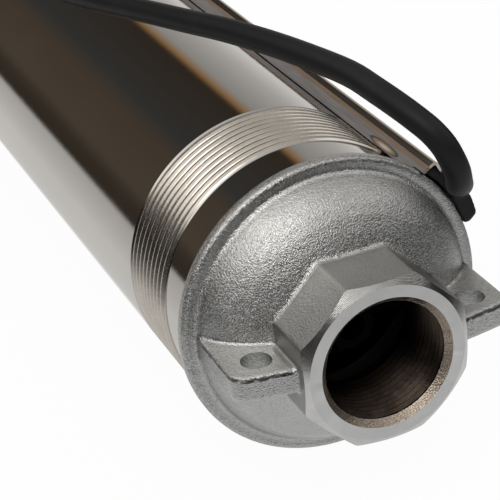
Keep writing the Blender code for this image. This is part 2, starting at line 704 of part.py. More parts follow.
def make_valve():
    ring_radius = CHAMBER_RADIUS - GAP
    ring = [
        (ring_radius, CHAMBER_TOP),
        (ring_radius, GUIDE_END),
        (ring_radius - GUIDE_RING_WALL, GUIDE_END),
        (ring_radius - GUIDE_RING_WALL, CHAMBER_TOP),
    ]
    guide = turned("valve_guide", ring, "pale_plastic", upright, INNER_FACET_COUNT)
    half_arm = GUIDE_ARM_WIDTH / 2
    arms = [
        (
            (STEM_RADIUS, -half_arm, CHAMBER_TOP + 0.5),
            (ring_radius - GUIDE_RING_WALL / 3, half_arm, GUIDE_END - 0.5),
            360.0 * arm / GUIDE_ARM_COUNT,
        )
        for arm in range(GUIDE_ARM_COUNT)
    ]
    join(guide, make_tool("guide_arms", box_mesh("guide_arms", arms)))
    boss_top = CHAMBER_TOP - GUIDE_BOSS_RISE
    boss_end = GUIDE_END + 1.5
    boss = rod_mesh("guide_boss", GUIDE_BOSS_RADIUS, boss_top, boss_end)
    join(guide, make_tool("guide_boss", boss))
    bore = rod_mesh("guide_bore", GUIDE_BORE_RADIUS, boss_top - 1.0, boss_end + 1.0)
    cut(guide, make_tool("guide_bore", bore))

    spring_top = GUIDE_END + GAP + SPRING_WIRE
    spring_end = POPPET_TOP - GAP - SPRING_WIRE
    steps = SPRING_TURN_COUNT * SMALL_FACET_COUNT
    coils = []
    for step in range(steps + 1):
        angle = math.tau * step / SMALL_FACET_COUNT
        station = spring_top + (spring_end - spring_top) * step / steps
        coils.append((SPRING_RADIUS * math.cos(angle), SPRING_RADIUS * math.sin(angle), -station))
    wire = curve_to_mesh(tube_curve("spring_wire", coils, SPRING_WIRE, 1), "valve_spring")
    place("valve_spring", wire, "steel", upright)

    disc_end = POPPET_TOP + POPPET_HEIGHT
    poppet = [
        (0.0, disc_end - STEM_LENGTH - POPPET_HEIGHT),
        (STEM_RADIUS, disc_end - STEM_LENGTH - POPPET_HEIGHT),
        (STEM_RADIUS, POPPET_TOP - 1.5),
        (STEM_RADIUS + 1.5, POPPET_TOP),
        (POPPET_RADIUS - 1.0, POPPET_TOP),
        (POPPET_RADIUS, POPPET_TOP + 1.0),
        (POPPET_RADIUS, disc_end),
        (SEAT_BORE_RADIUS - 1.0, disc_end),
        (SEAT_BORE_RADIUS - 2.5, disc_end + 3.5),
        (0.0, disc_end + 5.5),
    ]
    turned("valve_poppet", poppet, "pale_plastic", valve, INNER_FACET_COUNT)
    seal_end = disc_end + GAP + SEAL_HEIGHT
    seal = [
        (POPPET_RADIUS, disc_end + GAP),
        (POPPET_RADIUS, seal_end),
        (POPPET_RADIUS - SEAL_WIDTH, seal_end),
        (POPPET_RADIUS - SEAL_WIDTH, disc_end + GAP),
    ]
    turned("valve_seal", seal, "rubber", valve, INNER_FACET_COUNT)
    seat = [
        (SEAT_RADIUS, SEAT_TOP),
        (SEAT_RADIUS, SEAT_TOP + SEAT_HEIGHT),
        (SEAT_BORE_RADIUS + 2.0, SEAT_TOP + SEAT_HEIGHT),
        (SEAT_BORE_RADIUS, SEAT_TOP + SEAT_HEIGHT - 2.0),
        (SEAT_BORE_RADIUS, SEAT_TOP),
    ]
    turned("valve_seat", seat, "stainless", upright, MOTOR_FACET_COUNT)


# Jacket


def make_jacket():
    top_band = JACKET_TOP + NECK_LENGTH
    end_band = JACKET_END - NECK_LENGTH - THREAD_LENGTH
    thread_bore = SPIGOT_RADIUS + GAP
    bore = TUBE_RADIUS - TUBE_WALL
    outside = [
        (NECK_RADIUS, JACKET_TOP),
        (NECK_RADIUS, top_band),
        (TUBE_RADIUS, top_band),
        (TUBE_RADIUS, end_band + THREAD_LENGTH),
        (NECK_RADIUS, end_band + THREAD_LENGTH),
        (NECK_RADIUS, JACKET_END),
    ]
    inside = [
        (thread_bore, JACKET_END),
        (thread_bore, STAGE_END + GAP),
        (bore, STAGE_END + GAP),
        (bore, SPIGOT_END + GAP),
        (thread_bore, SPIGOT_END + GAP),
        (thread_bore, JACKET_TOP),
    ]
    turned("pump_jacket", outside + inside, "mirror_steel", upright)


# Upper bearing and pump shaft


def make_upper_bearing():
    end = SPIDER_TOP + SPIDER_HEIGHT
    ring = [
        (BOWL_RADIUS, SPIDER_TOP + GAP),
        (BOWL_RADIUS, end),
        (BOWL_RADIUS - SPIDER_WALL, end),
        (BOWL_RADIUS - SPIDER_WALL, SPIDER_TOP + GAP),
    ]
    spider = turned("bearing_spider", ring, "pale_plastic", upright, MOTOR_FACET_COUNT)
    boss_radius = BUSH_RADIUS + GAP + SPIDER_BOSS_WALL
    half_arm = SPIDER_ARM_WIDTH / 2
    arms = [
        (
            (BUSH_RADIUS + SPIDER_BOSS_WALL / 2, -half_arm, SPIDER_TOP + 1.0),
            (BOWL_RADIUS - SPIDER_WALL / 2, half_arm, end - 1.0),
            360.0 * arm / SPIDER_ARM_COUNT,
        )
        for arm in range(SPIDER_ARM_COUNT)
    ]
    join(spider, make_tool("spider_arms", box_mesh("spider_arms", arms)))
    boss = rod_mesh("spider_boss", boss_radius, SPIDER_TOP + GAP, end, facets=INNER_FACET_COUNT)
    join(spider, make_tool("spider_boss", boss))
    bore = rod_mesh("spider_bore", BUSH_RADIUS + GAP, SPIDER_TOP - 1.0, end + 1.0, facets=INNER_FACET_COUNT)
    cut(spider, make_tool("spider_bore", bore))
    bush = [
        (BUSH_RADIUS, SPIDER_TOP + GAP),
        (BUSH_RADIUS, end),
        (BUSH_BORE_RADIUS, end),
        (BUSH_BORE_RADIUS, SPIDER_TOP + GAP),
    ]
    turned("upper_bush", bush, "rubber", upright, INNER_FACET_COUNT)


def make_pump_shaft():
    journal_end = SPIDER_TOP + SPIDER_HEIGHT
    journal = [
        (0.0, SPIDER_TOP),
        (JOURNAL_RADIUS, SPIDER_TOP),
        (JOURNAL_RADIUS, journal_end),
        (0.0, journal_end),
    ]
    shaft = turned("pump_shaft", journal, "stainless", rotor, INNER_FACET_COUNT)
    bar = rod_mesh("hexagon_bar", SHAFT_CORNER, SHAFT_TOP, SHAFT_END, facets=6)
    join(shaft, make_tool("hexagon_bar", bar))
    nut_end = SPIDER_TOP - GAP
    bore = SHAFT_CORNER + GAP
    corner = bore + SHAFT_NUT_WALL
    nut = rod_mesh("shaft_nut", corner, nut_end - SHAFT_NUT_HEIGHT, nut_end, facets=6)
    nut_bore = rod_mesh("nut_bore", bore, SHAFT_TOP - 2.0, nut_end + 2.0, facets=INNER_FACET_COUNT)
    cut(place("shaft_nut", nut, "stainless", rotor), make_tool("nut_bore", nut_bore))


def make_coupling():
    end = MOTOR_FACE - SHAFT_EXTENSION + COUPLING_SHARE_ON_MOTOR
    shaft_bore = SHAFT_CORNER + GAP
    spline_bore = SPLINE_RADIUS + GAP
    profile = [
        (COUPLING_RADIUS - 1.0, end - COUPLING_LENGTH),
        (COUPLING_RADIUS, end - COUPLING_LENGTH + 1.0),
        (COUPLING_RADIUS, end - 1.0),
        (COUPLING_RADIUS - 1.0, end),
        (spline_bore, end),
        (spline_bore, SHAFT_END),
        (shaft_bore, SHAFT_END),
        (shaft_bore, end - COUPLING_LENGTH),
    ]
    turned("shaft_coupling", profile, "stainless", rotor, INNER_FACET_COUNT)


# Stages


def vane_mesh(name, count, inner, outer, sweep, top_at, end_at):
    """Curved vanes about the axis, whose top and bottom stations follow their radius."""
    bm = bmesh.new()
    section_count = 3
    for vane in range(count):
        start = math.tau * vane / count
        rows = []
        for step in range(section_count):
            share = step / (section_count - 1)
            radius = inner + (outer - inner) * share
            angle = start + sweep * (1.0 - share) ** 1.3
            half = VANE_THICKNESS / 2 / radius
            corners = [
                (angle - half, top_at(radius)),
                (angle + half, top_at(radius)),
                (angle + half, end_at(radius)),
                (angle - half, end_at(radius)),
            ]
            rows.append(
                [
                    bm.verts.new((radius * math.cos(a) * MM, radius * math.sin(a) * MM, -s * MM))
                    for a, s in corners
                ]
            )
        for first, second in zip(rows, rows[1:]):
            for side in range(4):
                after = (side + 1) % 4
                bm.faces.new((first[side], first[after], second[after], second[side]))
        bm.faces.new(rows[0])
        bm.faces.new(rows[-1])
    bmesh.ops.recalc_face_normals(bm, faces=bm.faces)
    return mesh_from(bm, name)


def make_diffuser(number, top):
    wall_end = top + STAGE_PITCH - GAP
    wall = [
        (BOWL_RADIUS, top),
        (BOWL_RADIUS, wall_end),
        (BOWL_BORE_RADIUS, wall_end),
        (BOWL_BORE_RADIUS, top + BOWL_PLATE),
        (NECK_BORE_RADIUS, top + BOWL_PLATE),
        (NECK_BORE_RADIUS, top),
    ]
    name = f"diffuser_{number}"
    bowl = turned(name, wall, "black_plastic", upright, INNER_FACET_COUNT)
    slope_top = top + CORE_TOP
    slope_end = top + CORE_DEPTH
    core = [
        (CORE_TOP_RADIUS, slope_top),
        (CORE_RADIUS, slope_end),
        (CORE_RADIUS, slope_end + SHROUD_THICKNESS),
        (CORE_BORE_RADIUS, slope_end + SHROUD_THICKNESS),
        (CORE_BORE_RADIUS, slope_top),
    ]

    def under(radius):
        along = (min(radius, CORE_RADIUS) - CORE_TOP_RADIUS) / (CORE_RADIUS - CORE_TOP_RADIUS)
        return slope_top + SHROUD_THICKNESS / 2 + (slope_end - slope_top) * along

    def over(radius):
        return top + BOWL_PLATE / 2

    vanes = vane_mesh(
        f"diffuser_vanes_{number}",
        DIFFUSER_VANE_COUNT,
        NECK_BORE_RADIUS + VANE_THICKNESS,
        BOWL_BORE_RADIUS + BOWL_WALL / 2,
        math.radians(45),
        over,
        under,
    )
    join(bowl, make_tool(f"diffuser_vanes_{number}", vanes))
    join(bowl, turned_tool(f"diffuser_core_{number}", core, INNER_FACET_COUNT))


def make_impeller(number, top):
    back = top + IMPELLER_TOP
    hub_top = top + HUB_TOP
    hub_end = hub_top + STAGE_PITCH - GAP
    shroud = [
        (0.0, hub_top),
        (HUB_RADIUS, hub_top),
        (HUB_RADIUS, back),
        (IMPELLER_RADIUS, back),
        (IMPELLER_RADIUS, back + SHROUD_THICKNESS),
        (HUB_RADIUS, back + SHROUD_THICKNESS),
        (HUB_RADIUS, hub_end),
        (0.0, hub_end),
    ]
    name = f"impeller_{number}"
    wheel = turned(name, shroud, "bronze", rotor, INNER_FACET_COUNT)
    rim = back + SHROUD_THICKNESS + IMPELLER_WIDTH
    eye = rim + EYE_RISE
    eye_outer = EYE_RADIUS + EYE_WALL
    eye_end = top + STAGE_PITCH + EYE_OVERLAP
    front = [
        (IMPELLER_RADIUS, rim),
        (IMPELLER_RADIUS, rim + SHROUD_THICKNESS),
        (eye_outer, eye + SHROUD_THICKNESS),
        (eye_outer, eye_end),
        (EYE_RADIUS, eye_end),
        (EYE_RADIUS, eye),
    ]

    def over(radius):
        return back + SHROUD_THICKNESS / 2

    def under(radius):
        along = (IMPELLER_RADIUS - radius) / (IMPELLER_RADIUS - EYE_RADIUS)
        return rim + SHROUD_THICKNESS / 2 + EYE_RISE * along

    vanes = vane_mesh(
        f"impeller_vanes_{number}",
        IMPELLER_VANE_COUNT,
        (EYE_RADIUS + HUB_RADIUS) / 2,
        IMPELLER_RADIUS - 0.5,
        math.radians(-80),
        over,
        under,
    )
    join(wheel, make_tool(f"impeller_vanes_{number}", vanes))
    join(wheel, turned_tool(f"impeller_front_{number}", front, INNER_FACET_COUNT))
    bore = hexagon_radius(SHAFT_ACROSS_FLATS + 2 * GAP)
    bar = rod_mesh(f"impeller_bore_{number}", bore, hub_top - 1.0, hub_end + 1.0, facets=6)
    cut(wheel, make_tool(f"impeller_bore_{number}", bar))


def make_stages():
    for stage in range(STAGE_COUNT):
        top = STAGE_TOP + stage * STAGE_PITCH
        make_diffuser(stage + 1, top)
        make_impeller(stage + 1, top)


# Suction bracket


def make_bracket():
    flange_end = FLANGE_TOP + FLANGE_HEIGHT
    outside = [
        (SPIGOT_RADIUS, STAGE_END + 2 * GAP),
        (SPIGOT_RADIUS, BRACKET_RIM),
        *rim_profile(BRACKET_RIM, SPIGOT_RADIUS)[1:],
        (CAGE_RADIUS, CAGE_TOP),
        (CAGE_RADIUS, FLANGE_TOP),
        (FLANGE_RADIUS, FLANGE_TOP),
        (FLANGE_RADIUS, flange_end),
    ]
    inside = [
        (PILOT_RADIUS + GAP, flange_end),
        (PILOT_RADIUS + GAP, flange_end - PILOT_HEIGHT),
        (FLANGE_BORE_RADIUS, flange_end - PILOT_HEIGHT),
        (FLANGE_BORE_RADIUS, FLANGE_TOP),
        (BRACKET_BORE_RADIUS, FLANGE_TOP),
        (BRACKET_BORE_RADIUS, STAGE_END + BRACKET_PLATE + BELL_DEPTH),
        (NECK_BORE_RADIUS, STAGE_END + BRACKET_PLATE),
        (NECK_BORE_RADIUS, STAGE_END + 2 * GAP),
    ]
    bracket = turned("suction_bracket", outside + inside, "plated_casting", upright)
    half = CAGE_RADIUS / 2
    reach = RIM_RADIUS
    window_top = CAGE_TOP + WINDOW_MARGIN
    for number in range(2):
        name = f"window_{number}"
        angle = GUARD_ANGLE + 45.0 + 90.0 * number
        box = ((-reach, -half, window_top), (reach, half, FLANGE_TOP + NUT_POCKET), angle)
        cut(bracket, make_tool(name, box_mesh(name, [box])))
    spots = ring_spots(STUD_COUNT, STUD_CIRCLE_RADIUS, GUARD_ANGLE + 45.0)
    holes = rod_mesh("flange_holes", STUD_RADIUS + GAP, FLANGE_TOP - 1.0, flange_end + 1.0, spots)
    cut(bracket, make_tool("flange_holes", holes))
    guard_clear = GUARD_HALF_WIDTH + GAP + 0.5
    lead_clear = LEAD_WIDTH / 2 + 0.8
    notches = [
        (
            (GUARD_FOOT - GAP, -guard_clear, BRACKET_RIM - 1.0),
            (RIM_RADIUS + 5.0, guard_clear, CAGE_TOP + 0.6),
            GUARD_ANGLE,
        ),
        (
            (PLUG_REACH - LEAD_THICKNESS, -lead_clear, FLANGE_TOP - 0.4),
            (RIM_RADIUS + 5.0, lead_clear, flange_end + 1.0),
            GUARD_ANGLE,
        ),
    ]
    cut(bracket, make_tool("cable_notches", box_mesh("cable_notches", notches)))
    cut(bracket, guard_screw_holes("bracket_screw_holes"))


def make_strainer():
    inner = CAGE_RADIUS + GAP
    outer = inner + STRAINER_WALL
    top = CAGE_TOP + GAP
    end = FLANGE_TOP - GAP
    sheet = [(outer, top), (outer, end), (inner, end), (inner, top)]
    strainer = turned("inlet_strainer", sheet, "stainless", upright)
    half = SLOT_WIDTH / 2
    reach = outer + 3.0
    slots = [
        (
            (-reach, -half, top + SLOT_MARGIN),
            (reach, half, end - SLOT_MARGIN),
            360.0 * slot / SLOT_COUNT,
        )
        for slot in range(SLOT_COUNT // 2)
    ]
    for number, slot in enumerate(slots):
        name = f"strainer_slot_{number}"
        cut(strainer, make_tool(name, box_mesh(name, [slot])))


def make_studs():
    top = FLANGE_TOP + NUT_POCKET - STUD_TOP
    nut_end = FLANGE_TOP + NUT_POCKET - GAP
    nut_top = nut_end - NUT_HEIGHT
    corner = hexagon_radius(NUT_ACROSS_FLATS)
    for number, spot in enumerate(ring_spots(STUD_COUNT, STUD_CIRCLE_RADIUS, GUARD_ANGLE + 45.0), 1):
        stud = rod_mesh("stud", STUD_RADIUS, top, MOTOR_FACE + STUD_DEPTH, [spot])
        place(f"motor_stud_{number}", stud, "steel", upright)
        blank = rod_mesh("nut", corner, nut_top, nut_end, [spot], 6)
        nut = place(f"motor_nut_{number}", blank, "steel", upright)
        name = f"nut_bore_{number}"
        bore = rod_mesh(name, STUD_RADIUS + GAP, nut_top - 1.0, nut_end + 1.0, [spot])
        cut(nut, make_tool(name, bore))


# Motor


def make_top_bell():
    spigot_bore = BELL_SPIGOT_RADIUS - BELL_SPIGOT_WALL
    spigot_end = TOP_BELL_END + BELL_SPIGOT
    bearing_end = spigot_end + WINDING_CLEARANCE
    pocket_end = MOTOR_FACE + SEAL_POCKET_DEPTH
    bearing_top = bearing_end - UPPER_BEARING_LENGTH
    chamber_top = TOP_BELL_END - BELL_SPIGOT_WALL
    outside = [
        (PILOT_RADIUS, MOTOR_FACE - PILOT_HEIGHT + GAP),
        (PILOT_RADIUS, MOTOR_FACE),
        (BELL_RADIUS, MOTOR_FACE),
        (BELL_RADIUS, TOP_BELL_END),
        (BELL_SPIGOT_RADIUS, TOP_BELL_END),
        (BELL_SPIGOT_RADIUS, spigot_end),
    ]
    inside = [
        (spigot_bore, spigot_end),
        (spigot_bore, chamber_top),
        (BEARING_BOSS_RADIUS, chamber_top),
        (BEARING_BOSS_RADIUS, bearing_end),
        (HOUSING_RADIUS, bearing_end),
        (HOUSING_RADIUS, bearing_top - GAP),
        (MOTOR_SHAFT_BORE, bearing_top - GAP),
        (MOTOR_SHAFT_BORE, pocket_end),
        (SEAL_POCKET_RADIUS, pocket_end),
        (SEAL_POCKET_RADIUS, MOTOR_FACE - PILOT_HEIGHT + GAP),
    ]
    bell = turned("motor_top_bell", outside + inside, "grey_casting", upright, MOTOR_FACET_COUNT)
    spots = ring_spots(STUD_COUNT, STUD_CIRCLE_RADIUS, GUARD_ANGLE + 45.0)
    holes = rod_mesh(
        "bell_holes", STUD_RADIUS + GAP, MOTOR_FACE - 5.0, MOTOR_FACE + STUD_DEPTH + GAP, spots
    )
    cut(bell, make_tool("bell_holes", holes))
    half = PLUG_RADIUS + 0.7
    end = MOTOR_FACE + PLUG_DEPTH + PLUG_LENGTH + GAP
    notch = [
        (
            (PLUG_REACH - PLUG_RADIUS - GAP, -half, MOTOR_FACE - 5.0),
            (BELL_RADIUS + 5.0, half, end),
            GUARD_ANGLE,
        )
    ]
    cut(bell, make_tool("plug_notch", box_mesh("plug_notch", notch)))
    bearing = [
        (BEARING_RADIUS, bearing_top),
        (BEARING_RADIUS, bearing_end),
        (MOTOR_SHAFT_BORE, bearing_end),
        (MOTOR_SHAFT_BORE, bearing_top),
    ]
    turned("upper_bearing", bearing, "carbon", upright, INNER_FACET_COUNT)
    seal_radius = SEAL_POCKET_RADIUS - GAP
    seal = [
        (seal_radius, MOTOR_FACE),
        (seal_radius, pocket_end - GAP),
        (MOTOR_SHAFT_BORE, pocket_end - GAP),
        (MOTOR_SHAFT_BORE, MOTOR_FACE + 3.0),
        (MOTOR_SHAFT_BORE + 1.5, MOTOR_FACE),
    ]
    turned("shaft_seal", seal, "rubber", upright, INNER_FACET_COUNT)


def make_motor_shaft():
    rotor_top = STATOR_TOP + ROTOR_SHORTER / 2
    rotor_end = STATOR_END - ROTOR_SHORTER / 2
    top = MOTOR_FACE - SHAFT_EXTENSION
    shoulder = top + COUPLING_SHARE_ON_MOTOR + 1.5
    profile = [
        (0.0, top),
        (SPLINE_RADIUS, top),
        (SPLINE_RADIUS, shoulder),
        (MOTOR_SHAFT_RADIUS, shoulder + 1.5),
        (MOTOR_SHAFT_RADIUS, rotor_top - ROTOR_SHORTER),
        (ROTOR_SEAT_RADIUS, rotor_top - ROTOR_SHORTER * 0.75),
        (ROTOR_SEAT_RADIUS, rotor_end + ROTOR_SHORTER * 0.75),
        (MOTOR_SHAFT_RADIUS, rotor_end + ROTOR_SHORTER),
        (MOTOR_SHAFT_RADIUS, THRUST_TOP - GAP),
        (THRUST_SEAT_RADIUS, THRUST_TOP - GAP),
        (THRUST_SEAT_RADIUS, THRUST_TOP + THRUST_DISC_HEIGHT),
        (0.0, THRUST_TOP + THRUST_DISC_HEIGHT),
    ]
    turned("motor_shaft", profile, "stainless", rotor, INNER_FACET_COUNT)
    core = [
        (ROTOR_RADIUS - 1.0, rotor_top),
        (ROTOR_RADIUS, rotor_top + 1.0),
        (ROTOR_RADIUS, rotor_end - 1.0),
        (ROTOR_RADIUS - 1.0, rotor_end),
        (ROTOR_SEAT_RADIUS + GAP, rotor_end),
        (ROTOR_SEAT_RADIUS + GAP, rotor_top),
    ]
    turned("rotor_core", core, "steel", rotor, INNER_FACET_COUNT)
    disc_bore = THRUST_SEAT_RADIUS + GAP
    disc = [
        (THRUST_DISC_RADIUS, THRUST_TOP),
        (THRUST_DISC_RADIUS, THRUST_TOP + THRUST_DISC_HEIGHT),
        (disc_bore, THRUST_TOP + THRUST_DISC_HEIGHT),
        (disc_bore, THRUST_TOP),
    ]
    turned("thrust_disc", disc, "stainless", rotor, INNER_FACET_COUNT)
    slinger_end = MOTOR_FACE - PILOT_HEIGHT - GAP
    slinger_top = slinger_end - SLINGER_HEIGHT
    slinger_bore = MOTOR_SHAFT_RADIUS + GAP
    slinger_radius = MOTOR_SHAFT_RADIUS + SLINGER_WIDTH
    slinger = [
        (slinger_bore + 3.0, slinger_top),
        (slinger_bore + 4.0, slinger_top + SLINGER_HEIGHT / 2),
        (slinger_radius, slinger_end - 1.4),
        (slinger_radius, slinger_end),
        (slinger_bore, slinger_end),
        (slinger_bore, slinger_top),
    ]
    turned("sand_slinger", slinger, "rubber", rotor, INNER_FACET_COUNT)


def make_stator():
    shell = [
        (MOTOR_RADIUS, SHELL_TOP),
        (MOTOR_RADIUS, SHELL_END),
        (MOTOR_BORE_RADIUS, SHELL_END),
        (MOTOR_BORE_RADIUS, SHELL_TOP),
    ]
    turned("motor_shell", shell, "brushed_steel", upright, MOTOR_FACET_COUNT)
    core = [
        (MOTOR_BORE_RADIUS - GAP, STATOR_TOP),
        (MOTOR_BORE_RADIUS - GAP, STATOR_END),
        (STATOR_BORE_RADIUS, STATOR_END),
        (STATOR_BORE_RADIUS, STATOR_TOP),
    ]
    turned("stator_core", core, "steel", upright, MOTOR_FACET_COUNT)
    upper_top = STATOR_TOP - GAP - WINDING_LENGTH
    turned("upper_winding", winding_profile(upper_top), "copper", upright, INNER_FACET_COUNT)
    turned("lower_winding", winding_profile(STATOR_END + GAP), "copper", upright, INNER_FACET_COUNT)


def winding_profile(top):
    end = top + WINDING_LENGTH
    return [
        (WINDING_OUTER_RADIUS - WINDING_EDGE, top),
        (WINDING_OUTER_RADIUS, top + WINDING_EDGE),
        (WINDING_OUTER_RADIUS, end - WINDING_EDGE),
        (WINDING_OUTER_RADIUS - WINDING_EDGE, end),
        (WINDING_INNER_RADIUS, end),
        (WINDING_INNER_RADIUS, top),
    ]


def make_motor_base():
    wall = BELL_SPIGOT_WALL - 1.0
    pan = CARRIER_TOP + CARRIER_PLATE
    carrier = [
        (BELL_SPIGOT_RADIUS, CARRIER_TOP),
        (BELL_SPIGOT_RADIUS, CARRIER_END),
        (BELL_SPIGOT_RADIUS - wall, CARRIER_END),
        (BELL_SPIGOT_RADIUS - wall - CARRIER_DRAFT, pan),
        (BEARING_BOSS_RADIUS, pan),
        (BEARING_BOSS_RADIUS - CARRIER_DRAFT, CARRIER_END),
        (HOUSING_RADIUS, CARRIER_END),
        (HOUSING_RADIUS, CARRIER_TOP),
    ]
    turned("bearing_carrier", carrier, "grey_casting", upright, MOTOR_FACET_COUNT)
    bearing = [
        (BEARING_RADIUS, CARRIER_TOP),
        (BEARING_RADIUS, CARRIER_END),
        (MOTOR_SHAFT_BORE, CARRIER_END),
        (MOTOR_SHAFT_BORE, CARRIER_TOP),
    ]
    turned("lower_bearing", bearing, "carbon", upright, INNER_FACET_COUNT)
    pads = [
        (PAD_RING_RADIUS, PAD_TOP),
        (PAD_RING_RADIUS, PAD_TOP + PAD_HEIGHT),
        (PAD_BORE_RADIUS, PAD_TOP + PAD_HEIGHT),
        (PAD_BORE_RADIUS, PAD_TOP),
    ]
    ring = turned("thrust_pads", pads, "carbon", upright, INNER_FACET_COUNT)
    half = PAD_SLOT / 2
    reach = PAD_RING_RADIUS + 2.0
    for slot in range(PAD_COUNT // 2):
        name = f"pad_slot_{slot}"
        angle = 360.0 * slot / PAD_COUNT
        box = ((-reach, -half, PAD_TOP - 1.0), (reach, half, PAD_TOP + PAD_HEIGHT / 2), angle)
        cut(ring, make_tool(name, box_mesh(name, [box])))
    port = PAD_BORE_RADIUS - PORT_INSET
    bell = [
        (BELL_SPIGOT_RADIUS, BOTTOM_BELL_TOP),
        (BELL_SPIGOT_RADIUS, SHELL_END + GAP),
        (BELL_RADIUS, SHELL_END + GAP),
        (BELL_RADIUS, BOTTOM_BELL_END),
        (DIAPHRAGM_RADIUS + GAP, BOTTOM_BELL_END),
        (DIAPHRAGM_RADIUS + GAP, FLOOR_TOP + BOTTOM_FLOOR),
        (port, FLOOR_TOP + BOTTOM_FLOOR),
        (port, FLOOR_TOP),
        ((PAD_RING_RADIUS + BELL_SPIGOT_RADIUS) / 2, FLOOR_TOP),
        (BELL_SPIGOT_RADIUS - wall, FLOOR_TOP - BOTTOM_FLOOR),
        (BELL_SPIGOT_RADIUS - wall, BOTTOM_BELL_TOP),
    ]
    turned("motor_bottom_bell", bell, "grey_casting", upright, MOTOR_FACET_COUNT)
    make_diaphragm()


def make_diaphragm():
    rim_end = BOTTOM_BELL_END
    rim_top = rim_end - DIAPHRAGM_WALL
    dish_radius = DIAPHRAGM_RADIUS - DIAPHRAGM_EDGE
    dish_top = rim_top - DIAPHRAGM_DISH
    diaphragm = [
        (0.0, dish_top),
        (dish_radius, dish_top),
        (dish_radius + 4.0, rim_top),
        (DIAPHRAGM_RADIUS, rim_top),
        (DIAPHRAGM_RADIUS, rim_end),
        (dish_radius + 3.0, rim_end),
        (dish_radius - 1.0, dish_top + DIAPHRAGM_WALL),
        (0.0, dish_top + DIAPHRAGM_WALL),
    ]
    turned("pressure_diaphragm", diaphragm, "rubber", upright, MOTOR_FACET_COUNT)
    inner = DIAPHRAGM_RADIUS - COVER_WALL / 2
    cover = [
        (0.0, PUMP_LENGTH - COVER_WALL),
        (inner - COVER_EDGE, PUMP_LENGTH - COVER_WALL),
        (inner, COVER_TOP),
        (BELL_RADIUS, COVER_TOP),
        (BELL_RADIUS, PUMP_LENGTH - COVER_EDGE),
        (BELL_RADIUS - COVER_EDGE / 3, PUMP_LENGTH - COVER_EDGE / 3),
        (BELL_RADIUS - COVER_EDGE, PUMP_LENGTH),
        (0.0, PUMP_LENGTH),
    ]
    turned("base_cover", cover, "black_plastic", upright, MOTOR_FACET_COUNT)


# Cable guard, lead and boot


def beside_guard(mesh):
    """Turns a mesh that was made at +X round to the guard."""
    mesh.transform(Matrix.Rotation(math.radians(GUARD_ANGLE), 4, "Z"))
    return mesh


def guard_section():
    """The channel's cross-section, whose feet follow the jacket."""
    half = GUARD_HALF_WIDTH
    inner_half = half - GUARD_SHEET
    top = GUARD_HEIGHT
    inner_corner = GUARD_CORNER - GUARD_SHEET
    corner = arc((top - GUARD_CORNER, half - GUARD_CORNER), GUARD_CORNER, 90, 0, 4)
    inside = arc((top - GUARD_CORNER, half - GUARD_CORNER), inner_corner, 0, 90, 4)
    outer_foot = (GUARD_FOOT, half)
    inner_foot = (math.sqrt(GUARD_SEAT_RADIUS**2 - inner_half**2), inner_half)
    left = [outer_foot, *corner]
    right = [(x, -y) for x, y in reversed(left)]
    inner_right = [(x, -y) for x, y in [inner_foot] + inside[::-1]]
    inner_left = inside + [inner_foot]
    return left + right + inner_right + inner_left


def make_guard():
    length = GUARD_END - GUARD_TOP
    mesh = plate_mesh("cable_guard", guard_section(), length)
    mesh.transform(Matrix.Translation((0.0, 0.0, -(GUARD_TOP + GUARD_END) / 2 * MM)))
    guard = place("cable_guard", beside_guard(mesh), "mirror_steel", upright)
    cut(guard, guard_screw_holes("guard_screw_holes"))


def guard_screw_mesh(name, radius, low, high, sides=(-1, 1)):
    """Rods that stand on the guard's top at its screws, between two heights from the axis."""
    spots = [(FLANGE_TOP + FLANGE_HEIGHT / 2, side * GUARD_SCREW_SPREAD) for side in sides]
    mesh = rod_mesh(name, radius, -high, -low, spots)
    mesh.transform(Matrix.Rotation(math.radians(90), 4, "Y"))
    return beside_guard(mesh)


def guard_screw_holes(name):
    low = GUARD_HEIGHT - GUARD_SCREW_LENGTH
    return make_tool(name, guard_screw_mesh(name, GUARD_SCREW_RADIUS + GAP, low, GUARD_HEIGHT + 2.0))


def make_guard_screws():
    head_low = GUARD_HEIGHT + GAP
    head_high = head_low + GUARD_SCREW_HEAD_HEIGHT
    shank_low = head_low - GUARD_SCREW_LENGTH
    for number, side in enumerate((-1, 1), 1):
        head = guard_screw_mesh("screw_head", GUARD_SCREW_HEAD, head_low, head_high, [side])
        screw = place(f"guard_screw_{number}", head, "steel", upright)
        name = f"screw_shank_{number}"
        shank = guard_screw_mesh(name, GUARD_SCREW_RADIUS, shank_low, head_low + 0.9, [side])
        join(screw, make_tool(name, shank))


def make_lead():
    reach = TUBE_RADIUS + 2 * GAP + LEAD_THICKNESS / 2
    half = LEAD_THICKNESS / 2
    boot_end = GUARD_TOP + TONGUE_LENGTH
    bend = FLANGE_TOP
    end = MOTOR_FACE + PLUG_DEPTH + PLUG_OVERLAP
    run = end - bend
    middle = [
        (reach, boot_end + GAP),
        (reach, bend),
        (reach - 0.9, bend + run * 0.2),
        ((reach + PLUG_REACH) / 2, bend + run * 0.5),
        (PLUG_REACH + 0.9, bend + run * 0.8),
        (PLUG_REACH, end),
    ]
    outer = [(radius + half, -station) for radius, station in middle]
    inner = [(radius - half, -station) for radius, station in reversed(middle)]
    mesh = plate_mesh("motor_lead", outer + inner, LEAD_WIDTH)
    mesh.transform(Matrix.Rotation(math.radians(90), 4, "X"))
    lead = bevel(place("motor_lead", beside_guard(mesh), "rubber", upright), 1.2)
    top = MOTOR_FACE + PLUG_DEPTH
    plug = rod_mesh("lead_plug", PLUG_RADIUS, top, top + PLUG_LENGTH, facets=INNER_FACET_COUNT)
    plug.transform(Matrix.Translation((PLUG_REACH * MM, 0.0, 0.0)))
    join(lead, make_tool("lead_plug", beside_guard(plug)))


